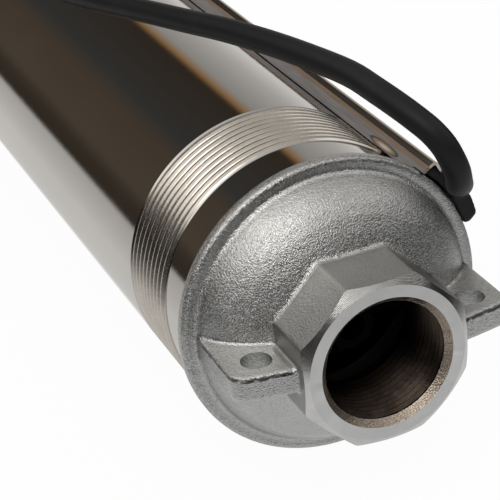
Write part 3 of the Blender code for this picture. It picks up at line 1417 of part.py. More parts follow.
def make_boot():
    """A rubber boot at the guard's mouth, from the flat lead to the round cord."""
    low = RIM_RADIUS + GAP
    half = GUARD_HALF_WIDTH - BOOT_SIDE
    block_end = GUARD_TOP - GAP
    block = box_mesh(
        "cable_boot",
        [((low, -half, block_end - BOOT_LENGTH), (low + BOOT_HEIGHT, half, block_end), 0.0)],
    )
    boot = place("cable_boot", beside_guard(block), "rubber", upright)
    bevel(boot, BOOT_EDGE, 2)
    tongue_low = TUBE_RADIUS + 2 * GAP
    tongue_high = GUARD_HEIGHT - GUARD_SHEET - GAP
    tongue_half = GUARD_HALF_WIDTH - GUARD_SHEET - TONGUE_CLEARANCE
    tongue = box_mesh(
        "boot_tongue",
        [
            (
                (tongue_low, -tongue_half, JACKET_TOP + 0.1),
                (tongue_high, tongue_half, GUARD_TOP + TONGUE_LENGTH),
                GUARD_ANGLE,
            )
        ],
    )
    join(boot, make_tool("boot_tongue", tongue))
    leave = cord_points()[:2]
    direction = (leave[1] - leave[0]).normalized()
    start = leave[0] - direction * BOOT_NECK_LENGTH
    end = leave[0] - direction * GAP
    bm = bmesh.new()
    turn_to = Vector((0.0, 0.0, 1.0)).rotation_difference(direction).to_matrix().to_4x4()
    bmesh.ops.create_cone(
        bm,
        cap_ends=True,
        segments=SMALL_FACET_COUNT,
        radius1=BOOT_NECK_RADIUS * MM,
        radius2=BOOT_NECK_RADIUS * MM,
        depth=(end - start).length * MM,
        matrix=Matrix.Translation((start + end) / 2 * MM) @ turn_to,
    )
    join(boot, make_tool("boot_neck", mesh_from(bm, "boot_neck")))


# Cord and coil


def cord_route():
    """The cord's middle as (across, station, up) from the axis, resting where it meets the floor."""
    lowest = TIE_THICKNESS + GAP + CORD_RADIUS - RIM_RADIUS
    route = []
    for degrees, past_mouth, clearance in CORD_ROUTE:
        angle = math.radians(degrees)
        reach = TUBE_RADIUS + CORD_RADIUS + clearance
        up = max(reach * math.sin(angle), lowest)
        route.append((reach * math.cos(angle), GUARD_TOP + past_mouth, up))
    return route


def smooth_route(points, spacing):
    """Points at even spacing on a smooth curve through the route's own points."""
    ends = [points[0] * 2 - points[1], *points, points[-1] * 2 - points[-2]]
    fine = []
    for before, first, second, after in zip(ends, ends[1:], ends[2:], ends[3:]):
        for step in range(20):
            t = step / 20
            fine.append(
                (
                    first * 2
                    + (second - before) * t
                    + (before * 2 - first * 5 + second * 4 - after) * t**2
                    + (first * 3 - before - second * 3 + after) * t**3
                )
                / 2
            )
    fine.append(points[-1])
    total = sum((b - a).length for a, b in zip(fine, fine[1:]))
    count = round(total / spacing)
    even = [fine[0]]
    walked = 0.0
    for a, b in zip(fine, fine[1:]):
        walked += (b - a).length
        if walked >= total * len(even) / count and len(even) < count:
            even.append(b)
    return even + [fine[-1]]


def cord_points():
    spots = [Vector((across, up, -station)) for across, station, up in cord_route()]
    return smooth_route(spots, CORD_SPACING)


def make_cord():
    curve = tube_curve("power_cord", cord_points(), CORD_RADIUS, 2)
    place("power_cord", curve_to_mesh(curve, "power_cord"), "rubber", upright)


def coil_lead():
    """How far before its touching point the straight cord meets the coil's outside."""
    outside = COIL_RADIUS + CORD_RADIUS * COIL_ROW_COUNT + GAP
    cord_inside = COIL_RADIUS + CORD_RADIUS * (COIL_ROW_COUNT - 2)
    return math.sqrt(outside**2 - cord_inside**2)


def coil_middle():
    """The coil's centre on the floor, so that the cord's last stretch runs into its outer turn."""
    before, last = [Vector(spot[:2]) for spot in cord_route()[-2:]]
    ahead = (last - before).normalized()
    to_side = Vector((-ahead.y, ahead.x))
    outer_turn = COIL_RADIUS + CORD_RADIUS * (COIL_ROW_COUNT - 1)
    return last + ahead * coil_lead() + to_side * outer_turn, ahead, to_side


def make_coil():
    middle, ahead, to_side = coil_middle()
    lift = TIE_THICKNESS + GAP
    low = lift - RIM_RADIUS
    half_width = CORD_RADIUS * COIL_ROW_COUNT
    high = low + 2 * CORD_RADIUS * COIL_LAYER_COUNT
    inner, outer = COIL_RADIUS - half_width, COIL_RADIUS + half_width
    edge = CORD_RADIUS * 0.6
    section = [
        (outer - edge, -high),
        (outer, -high + edge),
        (outer, -low - edge),
        (outer - edge, -low),
        (inner + edge, -low),
        (inner, -low - edge),
        (inner, -high + edge),
        (inner + edge, -high),
    ]
    ring = turned("cord_coil", section, "rubber", floor_frame, MOTOR_FACET_COUNT)
    ring.location = (middle.x * MM, middle.y * MM, 0.0)
    tie_inner = inner * math.cos(math.pi / MOTOR_FACET_COUNT) - GAP
    tie_outer = outer + GAP
    band = box_mesh(
        "coil_tie",
        [
            (
                (tie_inner - TIE_THICKNESS, -TIE_WIDTH / 2, -high - GAP - TIE_THICKNESS),
                (tie_outer + TIE_THICKNESS, TIE_WIDTH / 2, RIM_RADIUS),
                TIE_ANGLE,
            )
        ],
    )
    tie = place("coil_tie", band, "black_plastic", floor_frame)
    tie.location = ring.location
    hollow = box_mesh(
        "tie_hollow",
        [
            (
                (tie_inner, -TIE_WIDTH, -high - GAP),
                (tie_outer, TIE_WIDTH, -low + GAP),
                TIE_ANGLE,
            )
        ],
    )
    opening = make_tool("tie_hollow", hollow)
    opening.parent = floor_frame
    opening.location = ring.location
    cut(tie, opening)
    head = box_mesh(
        "tie_head",
        [
            (
                (COIL_RADIUS - TIE_HEAD, -TIE_HEAD, -high - GAP - TIE_THICKNESS - TIE_HEAD),
                (COIL_RADIUS + TIE_HEAD, TIE_HEAD, -high - GAP - TIE_THICKNESS / 2),
                TIE_ANGLE,
            )
        ],
    )
    lock = make_tool("tie_head", head)
    lock.parent = floor_frame
    lock.location = ring.location
    join(tie, lock)
    make_cord_end(middle, ahead, to_side)


def lying_rods(name, radius, start, ahead, first, last, offsets):
    """Rods along the floor from a start, each set off to one side and up."""
    bm = bmesh.new()
    along = Vector((ahead.x, ahead.y, 0.0))
    across = Vector((-ahead.y, ahead.x, 0.0))
    turn_to = Vector((0.0, 0.0, 1.0)).rotation_difference(along).to_matrix().to_4x4()
    for side, rise in offsets:
        centre = start + along * (first + last) / 2 + across * side + Vector((0.0, 0.0, rise))
        bmesh.ops.create_cone(
            bm,
            cap_ends=True,
            segments=10,
            radius1=radius * MM,
            radius2=radius * MM,
            depth=(last - first) * MM,
            matrix=Matrix.Translation(centre * MM) @ turn_to,
        )
    return mesh_from(bm, name)


def make_cord_end(middle, ahead, to_side):
    """The stripped end of the cord, which leaves the coil opposite the place where it comes in."""
    outer_turn = COIL_RADIUS + CORD_RADIUS * (COIL_ROW_COUNT - 1)
    flat = middle - to_side * outer_turn + ahead * coil_lead()
    start = Vector((flat.x, flat.y, TIE_THICKNESS + GAP + CORD_RADIUS - RIM_RADIUS))
    sleeve = lying_rods("cord_end", CORD_RADIUS, start, ahead, 0.0, SLEEVE_LENGTH, [(0.0, 0.0)])
    end = place("cord_end", sleeve, "rubber", floor_frame)
    offsets = ring_spots(STRAND_COUNT, CORE_CIRCLE_RADIUS, 45.0)
    cores_end = SLEEVE_LENGTH + CORE_LENGTH
    pieces = (
        ("cores", CORE_WIRE_RADIUS, SLEEVE_LENGTH / 2, cores_end),
        ("ferrules", FERRULE_RADIUS, cores_end - FERRULE_LENGTH / 2, cores_end + FERRULE_LENGTH),
    )
    for name, radius, first, last in pieces:
        mesh = lying_rods(name, radius, start, ahead, first, last, offsets)
        tool = make_tool(name, mesh)
        tool.parent = floor_frame
        join(end, tool)


FINISHES = {
    "plated_casting": ((0.56, 0.55, 0.53), 1.0, 0.38),
    "mirror_steel": ((0.62, 0.60, 0.57), 1.0, 0.08),
    "brushed_steel": ((0.58, 0.57, 0.55), 1.0, 0.30),
    "stainless": ((0.60, 0.59, 0.57), 1.0, 0.22),
    "steel": ((0.45, 0.45, 0.45), 1.0, 0.35),
    "grey_casting": ((0.38, 0.39, 0.40), 1.0, 0.55),
    "bronze": ((0.55, 0.38, 0.20), 1.0, 0.40),
    "copper": ((0.60, 0.30, 0.16), 1.0, 0.40),
    "carbon": ((0.05, 0.05, 0.05), 0.0, 0.45),
    "black_plastic": ((0.03, 0.03, 0.03), 0.0, 0.50),
    "pale_plastic": ((0.72, 0.70, 0.64), 0.0, 0.45),
    "rubber": ((0.02, 0.02, 0.02), 0.0, 0.60),
}

clear_scene()
parts = add_collection("submersible_pump")
tools = add_collection("cutters")

# The upright pump's frame, laid down along Y at the height of its rims
upright = add_empty("upright_pump")
upright.location = (0.0, -PUMP_LENGTH / 2 * MM, RIM_RADIUS * MM)
upright.rotation_euler = (math.radians(90), 0.0, 0.0)
rotor = add_empty("rotor_axis", upright)
valve = add_empty("valve_axis", upright)

# The frame of what lies on the floor beside it, with stations along Y
floor_frame = add_empty("floor_pieces")
floor_frame.location = upright.location

make_head()
make_valve()
make_jacket()
make_upper_bearing()
make_pump_shaft()
make_coupling()
make_stages()
make_bracket()
make_strainer()
make_studs()
make_top_bell()
make_motor_shaft()
make_stator()
make_motor_base()
make_guard()
make_guard_screws()
make_lead()
make_boot()
make_cord()
make_coil()
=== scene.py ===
import json
from functools import partialmethod
from math import copysign, cos, hypot, pi, radians, sin, sqrt, tau

import bmesh
import bpy
from mathutils import Matrix, Vector

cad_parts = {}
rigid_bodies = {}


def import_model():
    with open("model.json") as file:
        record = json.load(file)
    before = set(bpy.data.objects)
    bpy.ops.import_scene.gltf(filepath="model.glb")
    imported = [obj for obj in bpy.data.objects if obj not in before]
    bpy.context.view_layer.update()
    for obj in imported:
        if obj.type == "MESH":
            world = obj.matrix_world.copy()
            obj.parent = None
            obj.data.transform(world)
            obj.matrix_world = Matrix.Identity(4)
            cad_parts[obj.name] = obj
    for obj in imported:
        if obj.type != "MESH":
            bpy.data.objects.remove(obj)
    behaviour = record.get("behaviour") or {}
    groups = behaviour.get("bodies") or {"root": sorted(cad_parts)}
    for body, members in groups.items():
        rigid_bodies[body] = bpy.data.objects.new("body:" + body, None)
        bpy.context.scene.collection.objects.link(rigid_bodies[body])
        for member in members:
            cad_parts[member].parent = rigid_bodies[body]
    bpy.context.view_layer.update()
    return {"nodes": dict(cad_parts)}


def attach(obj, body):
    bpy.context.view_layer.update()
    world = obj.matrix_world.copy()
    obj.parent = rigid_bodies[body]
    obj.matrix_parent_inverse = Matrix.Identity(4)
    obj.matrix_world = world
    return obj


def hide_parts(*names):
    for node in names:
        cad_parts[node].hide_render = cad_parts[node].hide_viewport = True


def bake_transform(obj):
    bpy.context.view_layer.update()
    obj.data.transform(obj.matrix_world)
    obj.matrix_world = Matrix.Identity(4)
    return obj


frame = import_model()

# Sizes are in millimetres and turned into metres where they are used.
# A station is a distance from the outlet's face down the pump.
pump = {"face": -329.3, "axis": 50.1}


def at(across, station, up):
    return Vector((across, station + pump["face"], up + pump["axis"])) / 1000


def spotOf(point):  # distance from the pump's axis, and station
    return hypot(point.x * 1000, point.z * 1000 - pump["axis"]), point.y * 1000 - pump["face"]


def onFloor(across, station, height):
    return Vector((across, station + pump["face"], height)) / 1000


# camera at the photograph's angle

camera = {
    "place": (-0.1983, -0.75554, 0.33689),
    "right": (0.918817, -0.383311, -0.094062),
    "up": (0.255897, 0.397117, 0.881371),
    "back": (-0.300486, -0.833889, 0.462966),
    "lens": 134.35,
    "shift": (0.0345, 0.0037),
}


def makeCamera():
    bpy.ops.object.camera_add()
    view = bpy.context.object
    view.name = "viewCamera"
    view.data.lens = camera["lens"]
    view.data.sensor_width = 36
    view.data.shift_x, view.data.shift_y = camera["shift"]
    view.data.clip_start = 0.01
    turn = Matrix((camera["right"], camera["up"], camera["back"])).transposed()
    view.matrix_world = Matrix.Translation(camera["place"]) @ turn.to_4x4()
    bpy.context.scene.camera = view


makeCamera()

# shader maths as plain expressions


class Value:
    def __init__(self, look, socket):
        self.look = look
        self.socket = socket

    def maths(self, operation, *others):
        return self.look.maths(operation, self, *others)

    def __rsub__(self, other):
        return self.look.maths("SUBTRACT", other, self)

    __add__ = __radd__ = partialmethod(maths, "ADD")
    __mul__ = __rmul__ = partialmethod(maths, "MULTIPLY")
    __sub__ = partialmethod(maths, "SUBTRACT")
    __truediv__ = partialmethod(maths, "DIVIDE")
    __pow__ = partialmethod(maths, "POWER")

    def within(self, low, high):  # 0 below low, 1 above high, smooth between
        settings = {"interpolation_type": "SMOOTHSTEP", "clamp": True}
        return self.look.add("ShaderNodeMapRange", settings, {0: self, 1: low, 2: high})

    def output(self, name):
        return Value(self.look, self.socket.node.outputs[name])


class Look:
    def __init__(self, name, owner=None):
        self.material = owner or bpy.data.materials.new(name)
        self.material.use_nodes = True
        self.tree = self.material.node_tree
        self.shader = self.tree.nodes.get("Principled BSDF")

    def add(self, kind, settings=None, values=None, output=0):
        node = self.tree.nodes.new(kind)
        for name, setting in (settings or {}).items():
            if name == "stops":
                self.setStops(node.color_ramp, setting)
            else:
                setattr(node, name, setting)
        for name, value in (values or {}).items():
            self.give(node.inputs[name], value)
        return Value(self, node.outputs[output])

    def setStops(self, ramp, stops):
        ramp.elements[0].position = stops[0][0]
        ramp.elements[1].position = stops[-1][0]
        for place, colour in stops[1:-1]:
            ramp.elements.new(place)
        for element, (place, colour) in zip(ramp.elements, stops):
            element.color = (*colour, 1)

    def give(self, socket, value):
        if isinstance(value, Value):
            self.tree.links.new(value.socket, socket)
        elif isinstance(value, (tuple, list)) and len(value) == 3 and socket.type == "RGBA":
            socket.default_value = (*value, 1)
        else:
            socket.default_value = value

    def maths(self, operation, *values):
        return self.add("ShaderNodeMath", {"operation": operation}, dict(enumerate(values)))

    def split(self, vector):
        return [self.add("ShaderNodeSeparateXYZ", None, {0: vector}, axis) for axis in range(3)]

    def stretch(self, vector, scale):
        return self.add("ShaderNodeMapping", None, {"Vector": vector, "Scale": scale})

    def noise(self, vector, scale, detail=3, roughness=0.55):
        values = {"Vector": vector, "Scale": scale, "Detail": detail, "Roughness": roughness}
        return self.add("ShaderNodeTexNoise", None, values)

    def streaks(self, vector, scale, detail=2):
        return self.noise(self.stretch(vector, scale), 1.0, detail)

    def mix(self, factor, first, second):
        values = {0: factor, 6: first, 7: second}
        return self.add("ShaderNodeMix", {"data_type": "RGBA"}, values, 2)

    def bump(self, height, strength, distance, before=None):
        values = {"Height": height, "Strength": strength, "Distance": distance}
        if before:
            values["Normal"] = before
        return self.add("ShaderNodeBump", None, values)

    def glow(self, colour):
        return self.add("ShaderNodeEmission", None, {"Color": colour, "Strength": 1.0})

    def surface(self, value):
        self.tree.links.new(value.socket, self.tree.nodes["Material Output"].inputs["Surface"])

    def finish(self, **values):
        for name, value in values.items():
            words = {"colour": "Base Color", "specular": "Specular IOR Level", "coat": "Coat Weight"}
            self.give(self.shader.inputs[words.get(name, name.capitalize())], value)
        return self.material

    def metal(self, colour, roughness, normal):
        return self.finish(colour=colour, metallic=1, roughness=roughness, normal=normal)


def begin(name):  # a new look and its object coordinates
    look = Look(name)
    return look, look.add("ShaderNodeTexCoord", output="Object")


def shade(colour, factor):
    return tuple(min(1.0, part * factor) for part in colour)


# how far a point lies from the pump's axis, for turned and brushed metal
def radiusOf(look, vector):
    x, y, z = look.split(vector)
    return (x * x + (z - pump["axis"] / 1000) ** 2) ** 0.5


def mirrorSteel(name, colour=(0.63, 0.61, 0.58), roughness=0.07):
    look, place = begin(name)
    streaks = look.streaks(place, (260, 9000, 260))
    cloud = look.noise(place, 14, 3)
    smear = look.streaks(place, (60, 6, 60), 3)
    rough = roughness * 0.7 + streaks * (roughness * 0.35) + smear.within(0.45, 0.75) * (roughness * 0.5)
    tint = look.mix(cloud.within(0.3, 0.7), shade(colour, 0.97), shade(colour, 1.02))
    wave = look.streaks(place, (30, 5, 30))
    normal = look.bump(wave, 0.06, 0.001, look.bump(streaks, 0.04, 0.0001))
    return look.metal(tint, rough, normal)


def castSteel(name, colour=(0.62, 0.615, 0.60), roughness=0.15, grain=1.0, marks=None):
    look, place = begin(name)
    sand = look.noise(place, 1700, 2, 0.6)
    fine = look.noise(place, 3300, 2, 0.6)
    lumps = look.noise(place, 260, 2, 0.5)
    cloud = look.noise(place, 60, 3)
    rough = roughness + (cloud - 0.5) * 0.12
    clean = look.mix(cloud.within(0.35, 0.7), shade(colour, 0.96), shade(colour, 1.04))
    tint = look.mix(sand.within(0.26, 0.5), shade(colour, 0.78), clean)
    if marks:
        tint = look.mix(marks(look, place), tint, shade(colour, 0.1))
    normal = look.bump(lumps, grain * 0.12, 0.0010)
    normal = look.bump(sand, grain * 0.62, 0.00045, normal)
    normal = look.bump(fine, grain * 0.5, 0.00022, normal)
    return look.metal(tint, rough, normal)


def turnedSteel(name, colour=(0.66, 0.65, 0.62), roughness=0.24, pitch=0.35, along=False):
    look, place = begin(name)
    radius = look.split(place)[1] if along else radiusOf(look, place)
    rings = (radius * (2000 * pi / pitch)).maths("SINE")
    drift = look.noise(place, 120, 3)
    spots = look.noise(place, 700, 3)
    rough = roughness + (drift - 0.5) * 0.15 + spots.within(0.6, 0.75) * 0.1
    tint = look.mix(drift.within(0.3, 0.75), shade(colour, 0.9), shade(colour, 1.05))
    normal = look.bump(rings, 0.12, 0.00004, look.bump(spots, 0.15, 0.0002))
    return look.metal(tint, rough, normal)


def turnedShaft(name):
    return turnedSteel(name, along=True)


def threadedSteel(name, colour=(0.07, 0.053, 0.042)):
    look, place = begin(name)
    stain = look.noise(place, 130, 3)
    chip = look.streaks(place, (700, 260, 700))
    tint = look.mix(stain.within(0.3, 0.7), shade(colour, 0.7), shade(colour, 1.5))
    depth = look.split(place)[1] * 1000 - pump["face"]
    tint = look.mix(depth.within(4, 25), tint, shade(colour, 0.08))  # painted shade: the bore's colour darkens deeper inwards
    normal = look.bump(chip, 0.25, 0.0004)
    return look.metal(tint, 0.32 + stain * 0.15, normal)


def rubber(name, colour=(0.009, 0.009, 0.0095), roughness=0.5):
    look, place = begin(name)
    grain = look.noise(place, 1400, 3)
    dust = look.noise(place, 60, 4)
    tint = look.mix(dust.within(0.45, 0.85), colour, shade(colour, 1.9))
    rough = roughness + (grain - 0.5) * 0.2
    normal = look.bump(grain, 0.25, 0.0002)
    return look.finish(colour=tint, roughness=rough, normal=normal, specular=0.25)


def moulded(name, colour, roughness=0.42, specular=0.5):
    look, place = begin(name)
    skin = look.noise(place, 1800, 3)
    flow = look.streaks(place, (40, 15, 40), 3)
    tint = look.mix(flow.within(0.3, 0.7), shade(colour, 0.9), shade(colour, 1.08))
    normal = look.bump(skin, 0.12, 0.0002)
    return look.finish(colour=tint, roughness=roughness + (skin - 0.5) * 0.12, normal=normal, specular=specular)


def wound(name):
    look, place = begin(name)
    x, y, z = look.split(place)
    turns = (y * 4800 + x * 700).maths("SINE")
    lacquer = look.noise(place, 90, 3)
    tint = look.mix(lacquer.within(0.3, 0.7), (0.42, 0.16, 0.06), (0.62, 0.27, 0.11))
    return look.finish(
        colour=tint, metallic=0.85, roughness=0.35 + lacquer * 0.1, normal=look.bump(turns, 0.7, 0.0006)
    )


def laminated(name):
    look, place = begin(name)
    sheets = (look.split(place)[1] * 12000).maths("SINE")
    rust = look.noise(place, 160, 3)
    tint = look.mix(rust.within(0.55, 0.8), (0.30, 0.30, 0.31), (0.24, 0.19, 0.15))
    normal = look.bump(sheets, 0.35, 0.0002)
    return look.metal(tint, 0.38 + rust * 0.12, normal)


# modelling helpers, all with operators as by hand


def deselect():
    if bpy.context.object and bpy.context.object.mode != "OBJECT":
        bpy.ops.object.mode_set(mode="OBJECT")
    bpy.ops.object.select_all(action="DESELECT")


def choose(*objects):
    deselect()
    for one in objects:
        one.select_set(True)
    bpy.context.view_layer.objects.active = objects[0]


def edit(piece):  # with everything selected
    choose(piece)
    bpy.ops.object.mode_set(mode="EDIT")
    bpy.ops.mesh.select_all(action="SELECT")


def leave():
    bpy.ops.object.mode_set(mode="OBJECT")


def extrude(*way):
    bpy.ops.mesh.extrude_region_move(TRANSFORM_OT_translate={"value": [part / 1000 for part in way]})


def link(piece):
    bpy.context.scene.collection.objects.link(piece)
    return piece


def applyModifier(piece, kind, **settings):
    choose(piece)
    modifier = piece.modifiers.new(kind.lower(), kind)
    for name, value in settings.items():
        setattr(modifier, name, value)
    bpy.ops.object.modifier_apply(modifier=modifier.name)
    return piece


def fixPlace(piece):
    choose(piece)
    bpy.ops.object.transform_apply(location=True, rotation=True, scale=True)


def settle(piece, angle=35):
    fixPlace(piece)
    bpy.ops.object.shade_smooth_by_angle(angle=radians(angle))
    return piece


def outwards(piece):
    edit(piece)
    bpy.ops.mesh.remove_doubles(threshold=0.00001)
    bpy.ops.mesh.normals_make_consistent(inside=False)
    leave()
    return piece


# a turned piece: a circle round the pump's axis, extruded and resized from ring to ring
def turnPiece(name, rings, sides=128):
    deselect()
    radius, station = rings[0]
    bpy.ops.mesh.primitive_circle_add(
        vertices=sides, radius=radius / 1000, location=at(0, station, 0), rotation=(radians(90), 0, 0)
    )
    piece = bpy.context.object
    piece.name = name
    edit(piece)
    bpy.ops.mesh.select_mode(type="EDGE")
    for (before, was), (after, now) in zip(rings, rings[1:]):
        extrude(0, now - was, 0)
        if after != before:
            ratio = after / before
            bpy.ops.transform.resize(value=(ratio, 1, ratio), center_override=at(0, now, 0))
    leave()
    return outwards(piece)


def held(rings, margin=0.4):  # extra rings beside the corners of long stretches keep the shading straight
    out = [rings[0]]
    for (r0, s0), (r1, s1) in zip(rings, rings[1:]):
        length = hypot(r1 - r0, s1 - s0)
        if length > 4 * margin:
            share = margin / length
            out.append((r0 + (r1 - r0) * share, s0 + (s1 - s0) * share))
            out.append((r1 - (r1 - r0) * share, s1 - (s1 - s0) * share))
        out.append((r1, s1))
    return out


def tube(name, outside, inside, sides=128):
    rings = outside + inside[::-1]
    return turnPiece(name, held(rings + rings[:1]), sides)


def rounded(points, radius, steps=3, closed=False):  # rounds the corners of an outline
    out = []
    count = len(points)
    for index, here in enumerate(points):
        inner = closed or 0 < index < count - 1
        if not inner:
            out.append(here)
            continue
        here = Vector(here)
        before, after = Vector(points[index - 1]), Vector(points[(index + 1) % count])
        reach = min(radius, (before - here).length * 0.45, (after - here).length * 0.45)
        start = here + (before - here).normalized() * reach
        end = here + (after - here).normalized() * reach
        for step in range(steps + 1):
            share = step / steps
            spot = start * (1 - share) ** 2 + here * 2 * share * (1 - share) + end * share**2
            out.append(tuple(spot))
    return out


def flatOutline(name, outline, fill="NGON"):
    deselect()
    bpy.ops.mesh.primitive_circle_add(vertices=len(outline), radius=0.01, fill_type=fill)
    piece = bpy.context.object
    piece.name = name
    for vertex, spot in zip(piece.data.vertices, outline):
        vertex.co = (spot[0] / 1000, spot[1] / 1000, 0)
    return piece


# turns an outline's x and z into the directions across and along the pump
def alongPump(station, turn=0.0):
    return Matrix.Translation(at(0, station, 0)) @ Matrix.Rotation(radians(-turn), 4, "Y") @ Matrix.Rotation(
        radians(-90), 4, "X"
    )


# a prism from an outline, placed by a matrix, extruded along its own z
def prism(name, outline, depth, place):
    piece = flatOutline(name, outline)
    edit(piece)
    extrude(0, 0, depth)
    leave()
    piece.matrix_world = place
    fixPlace(piece)
    return outwards(piece)


def corners(radius, count, first=0.0):  # of a regular polygon
    turns = [radians(first + 360 / count * n) for n in range(count)]
    return [(radius * cos(angle), radius * sin(angle)) for angle in turns]


def bevel(piece, width, segments=2, **limit):
    return applyModifier(piece, "BEVEL", width=width, segments=segments, **{"limit_method": "ANGLE", **limit})


def joined(*pieces):
    choose(*pieces)
    bpy.ops.object.join()
    return pieces[0]


def asMesh(piece):
    choose(piece)
    bpy.ops.object.convert(target="MESH")
    return bpy.context.object


def subtract(piece, tool):
    applyModifier(piece, "BOOLEAN", operation="DIFFERENCE", object=tool, solver="EXACT")
    bpy.data.objects.remove(tool)
    return piece


def giveLook(piece, *looks):
    piece.data.materials.clear()
    for look in looks:
        piece.data.materials.append(look)


def register(piece, slot, *nodes):
    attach(piece, "casing")
    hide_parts(*nodes)


def complete(piece, looks, slot, *nodes, angle=30):
    settle(piece, angle)
    giveLook(piece, *looks)
    register(piece, slot, *nodes)


# power cord: out of the boot, back over the jacket, down its side and into a coil on the floor

cord = {
    "radius": 4.2,
    "route": [
        (45.8, 38.2, 30.8), (43.0, 33.3, 33.6), (40.8, 28.9, 37.3), (38.9, 26.1, 41.6),
        (36.9, 25.2, 46.4), (34.7, 25.9, 51.4), (32.1, 28.5, 55.7), (29.3, 32.8, 59.0),
        (26.9, 38.6, 61.5), (24.1, 48.0, 64.0), (20.8, 60.0, 66.4), (15.2, 80.0, 67.0),
        (10.3, 100.0, 66.3), (5.0, 122.0, 64.6), (-0.2, 143.0, 62.2), (-4.6, 165.0, 59.3),
        (-10.0, 190.0, 56.0), (-15.0, 214.0, 53.0), (-19.0, 238.0, 50.4), (-22.4, 262.0, 49.0),
        (-28.5, 286.0, 46.5), (-38.5, 306.0, 38.5), (-48.5, 323.0, 25.5), (-55.4, 337.0, 8.5),
        (-59.2, 349.0, -10.5), (-60.4, 361.0, -27.0), (-59.8, 373.5, -38.8),
        (-58.2, 387.0, -44.3), (-57.0, 402.0, -44.3), (-57.0, 416.0, -44.3),
    ],
    "coilMiddle": (-111.5, 447.88),
    "coilRadius": 50.0,
    "turns": 3,
    "pointsPerTurn": 16,
    "floorGap": 1.3,
    "window": (305, 360),  # degrees of each turn in which it moves on to the next place
    "tail": 56.0,
    "sleeve": {"radius": 4.8, "from": 47.0, "to": 66.0},
    "core": {"radius": 1.3, "circle": 1.9, "to": 89.8, "ferrule": 1.0, "tip": 101.6},
}


def cordPath():
    path = [at(*spot) for spot in cord["route"]]
    last, before = Vector(cord["route"][-1][:2]), Vector(cord["route"][-2][:2])
    ahead = (last - before).normalized()
    side = Vector((-ahead.y, ahead.x))
    middle = Vector(cord["coilMiddle"])
    low = cord["floorGap"] + cord["radius"]
    radius = cord["radius"]
    touch = middle - side * (cord["coilRadius"] + radius)
    path.append(onFloor(*(touch - ahead * 16), low))
    count = cord["turns"] * cord["pointsPerTurn"]
    begin, end = cord["window"]
    for step in range(count + 1):
        degrees = 360 * step / cord["pointsPerTurn"]
        turn, within = divmod(degrees, 360)
        if step == count:
            turn, within = cord["turns"] - 1, 360
        share = min(max((within - begin) / (end - begin), 0), 1)
        share = share * share * (3 - 2 * share)
        slotAngle = radians(-45 - 90 * (turn + share))
        out = cord["coilRadius"] + radius * sqrt(2) * cos(slotAngle)
        up = low + radius + radius * sqrt(2) * sin(slotAngle)
        up += 0.8 * sin(pi * share)
        angle = radians(degrees)
        spot = middle - side * out * cos(angle) + ahead * out * sin(angle)
        path.append(onFloor(*spot, up))
    top = low + 2 * radius
    for along, drop in ((14, 0.0), (24, 0.9), (34, 4.2), (44, 7.6), (cord["tail"], 9.0)):
        path.append(onFloor(*(touch + ahead * along), top - drop))
    return path, ahead, touch


def smoothPath(points, parts):  # one smooth line through all the points
    ends = [points[0] * 2 - points[1], *points, points[-1] * 2 - points[-2]]
    line = []
    for before, first, second, after in zip(ends, ends[1:], ends[2:], ends[3:]):
        for step in range(parts):
            t = step / parts
            line.append(
                (
                    first * 2
                    + (second - before) * t
                    + (before * 2 - first * 5 + second * 4 - after) * t**2
                    + (first * 3 - before - second * 3 + after) * t**3
                )
                / 2
            )
    return line + [points[-1]]


def curveAlong(name, points, radius, sides=8):
    curve = bpy.data.curves.new(name, "CURVE")
    curve.dimensions = "3D"
    curve.bevel_depth = radius / 1000
    curve.bevel_resolution = sides
    curve.use_fill_caps = True
    spline = curve.splines.new("POLY")
    spline.points.add(len(points) - 1)
    for point, spot in zip(spline.points, points):
        point.co = (*spot, 1)
    spline.use_smooth = True
    return link(bpy.data.objects.new(name, curve))


def makeCord():
    points, ahead, touch = cordPath()
    line = smoothPath(points, 4)
    piece = curveAlong("supplyCord", line, cord["radius"])
    piece.data.materials.append(rubber("cordRubber"))
    length = sum((after - before).length for before, after in zip(line, line[1:]))
    piece.visible_glossy = False  # the photograph's jacket doesn't mirror the loop
    register(piece, "rubber", "power_cord", "cord_coil")
    makeCordTail(ahead, touch)


# the cord's end: a shrunk sleeve, three cores and their ferrules
def makeCordTail(ahead, touch):
    height = cord["floorGap"] + cord["radius"]
    sleeve, core = cord["sleeve"], cord["core"]

    def spot(along, side=0.0, up=0.0):
        flat = touch + ahead * along + Vector((-ahead.y, ahead.x)) * side
        return onFloor(*flat, height + up)

    start, end = sleeve["from"], sleeve["to"]
    path = [spot(start, 0, 0.8), spot(44, 0, 1.4).lerp(spot(cord["tail"]), 0.6), spot(end - 3), spot(end)]
    parts = [(curveAlong("cordTail", smoothPath(path, 4), sleeve["radius"], 10), 0)]
    for number in range(3):
        angle = radians(90 + 120 * number)
        side, up = core["circle"] * cos(angle), core["circle"] * sin(angle)
        spread = 1.35 if number else 1.0
        wide = side * spread
        bend = [(end - 6, side), (end + 2, side), (end + 12, wide), (core["to"], wide)]
        bend = [spot(along, across, up) for along, across in bend]
        parts.append((curveAlong("core", smoothPath(bend, 5), core["radius"], 6), number + 1))
        tip = [spot(core["to"] - 0.5, wide, up), spot(core["tip"], wide, up)]
        parts.append((curveAlong("ferrule", smoothPath(tip, 3), core["ferrule"], 5), 4))
    looks = [
        rubber("sleeveRubber", (0.010, 0.010, 0.011), 0.4),
        moulded("brownCore", (0.10, 0.035, 0.015)),
        moulded("greyCore", (0.16, 0.16, 0.17)),
        moulded("blackCore", (0.012, 0.012, 0.013)),
        turnedSteel("ferruleTin", (0.7, 0.7, 0.68), 0.3, 0.5, True),
    ]
    made = []
    for piece, look in parts:
        piece = asMesh(piece)
        giveLook(piece, *looks)
        for polygon in piece.data.polygons:
            polygon.material_index = look
        made.append(piece)
    tail = settle(joined(*made), 40)
    tail.visible_glossy = False
    register(tail, "rubber", "cord_end")


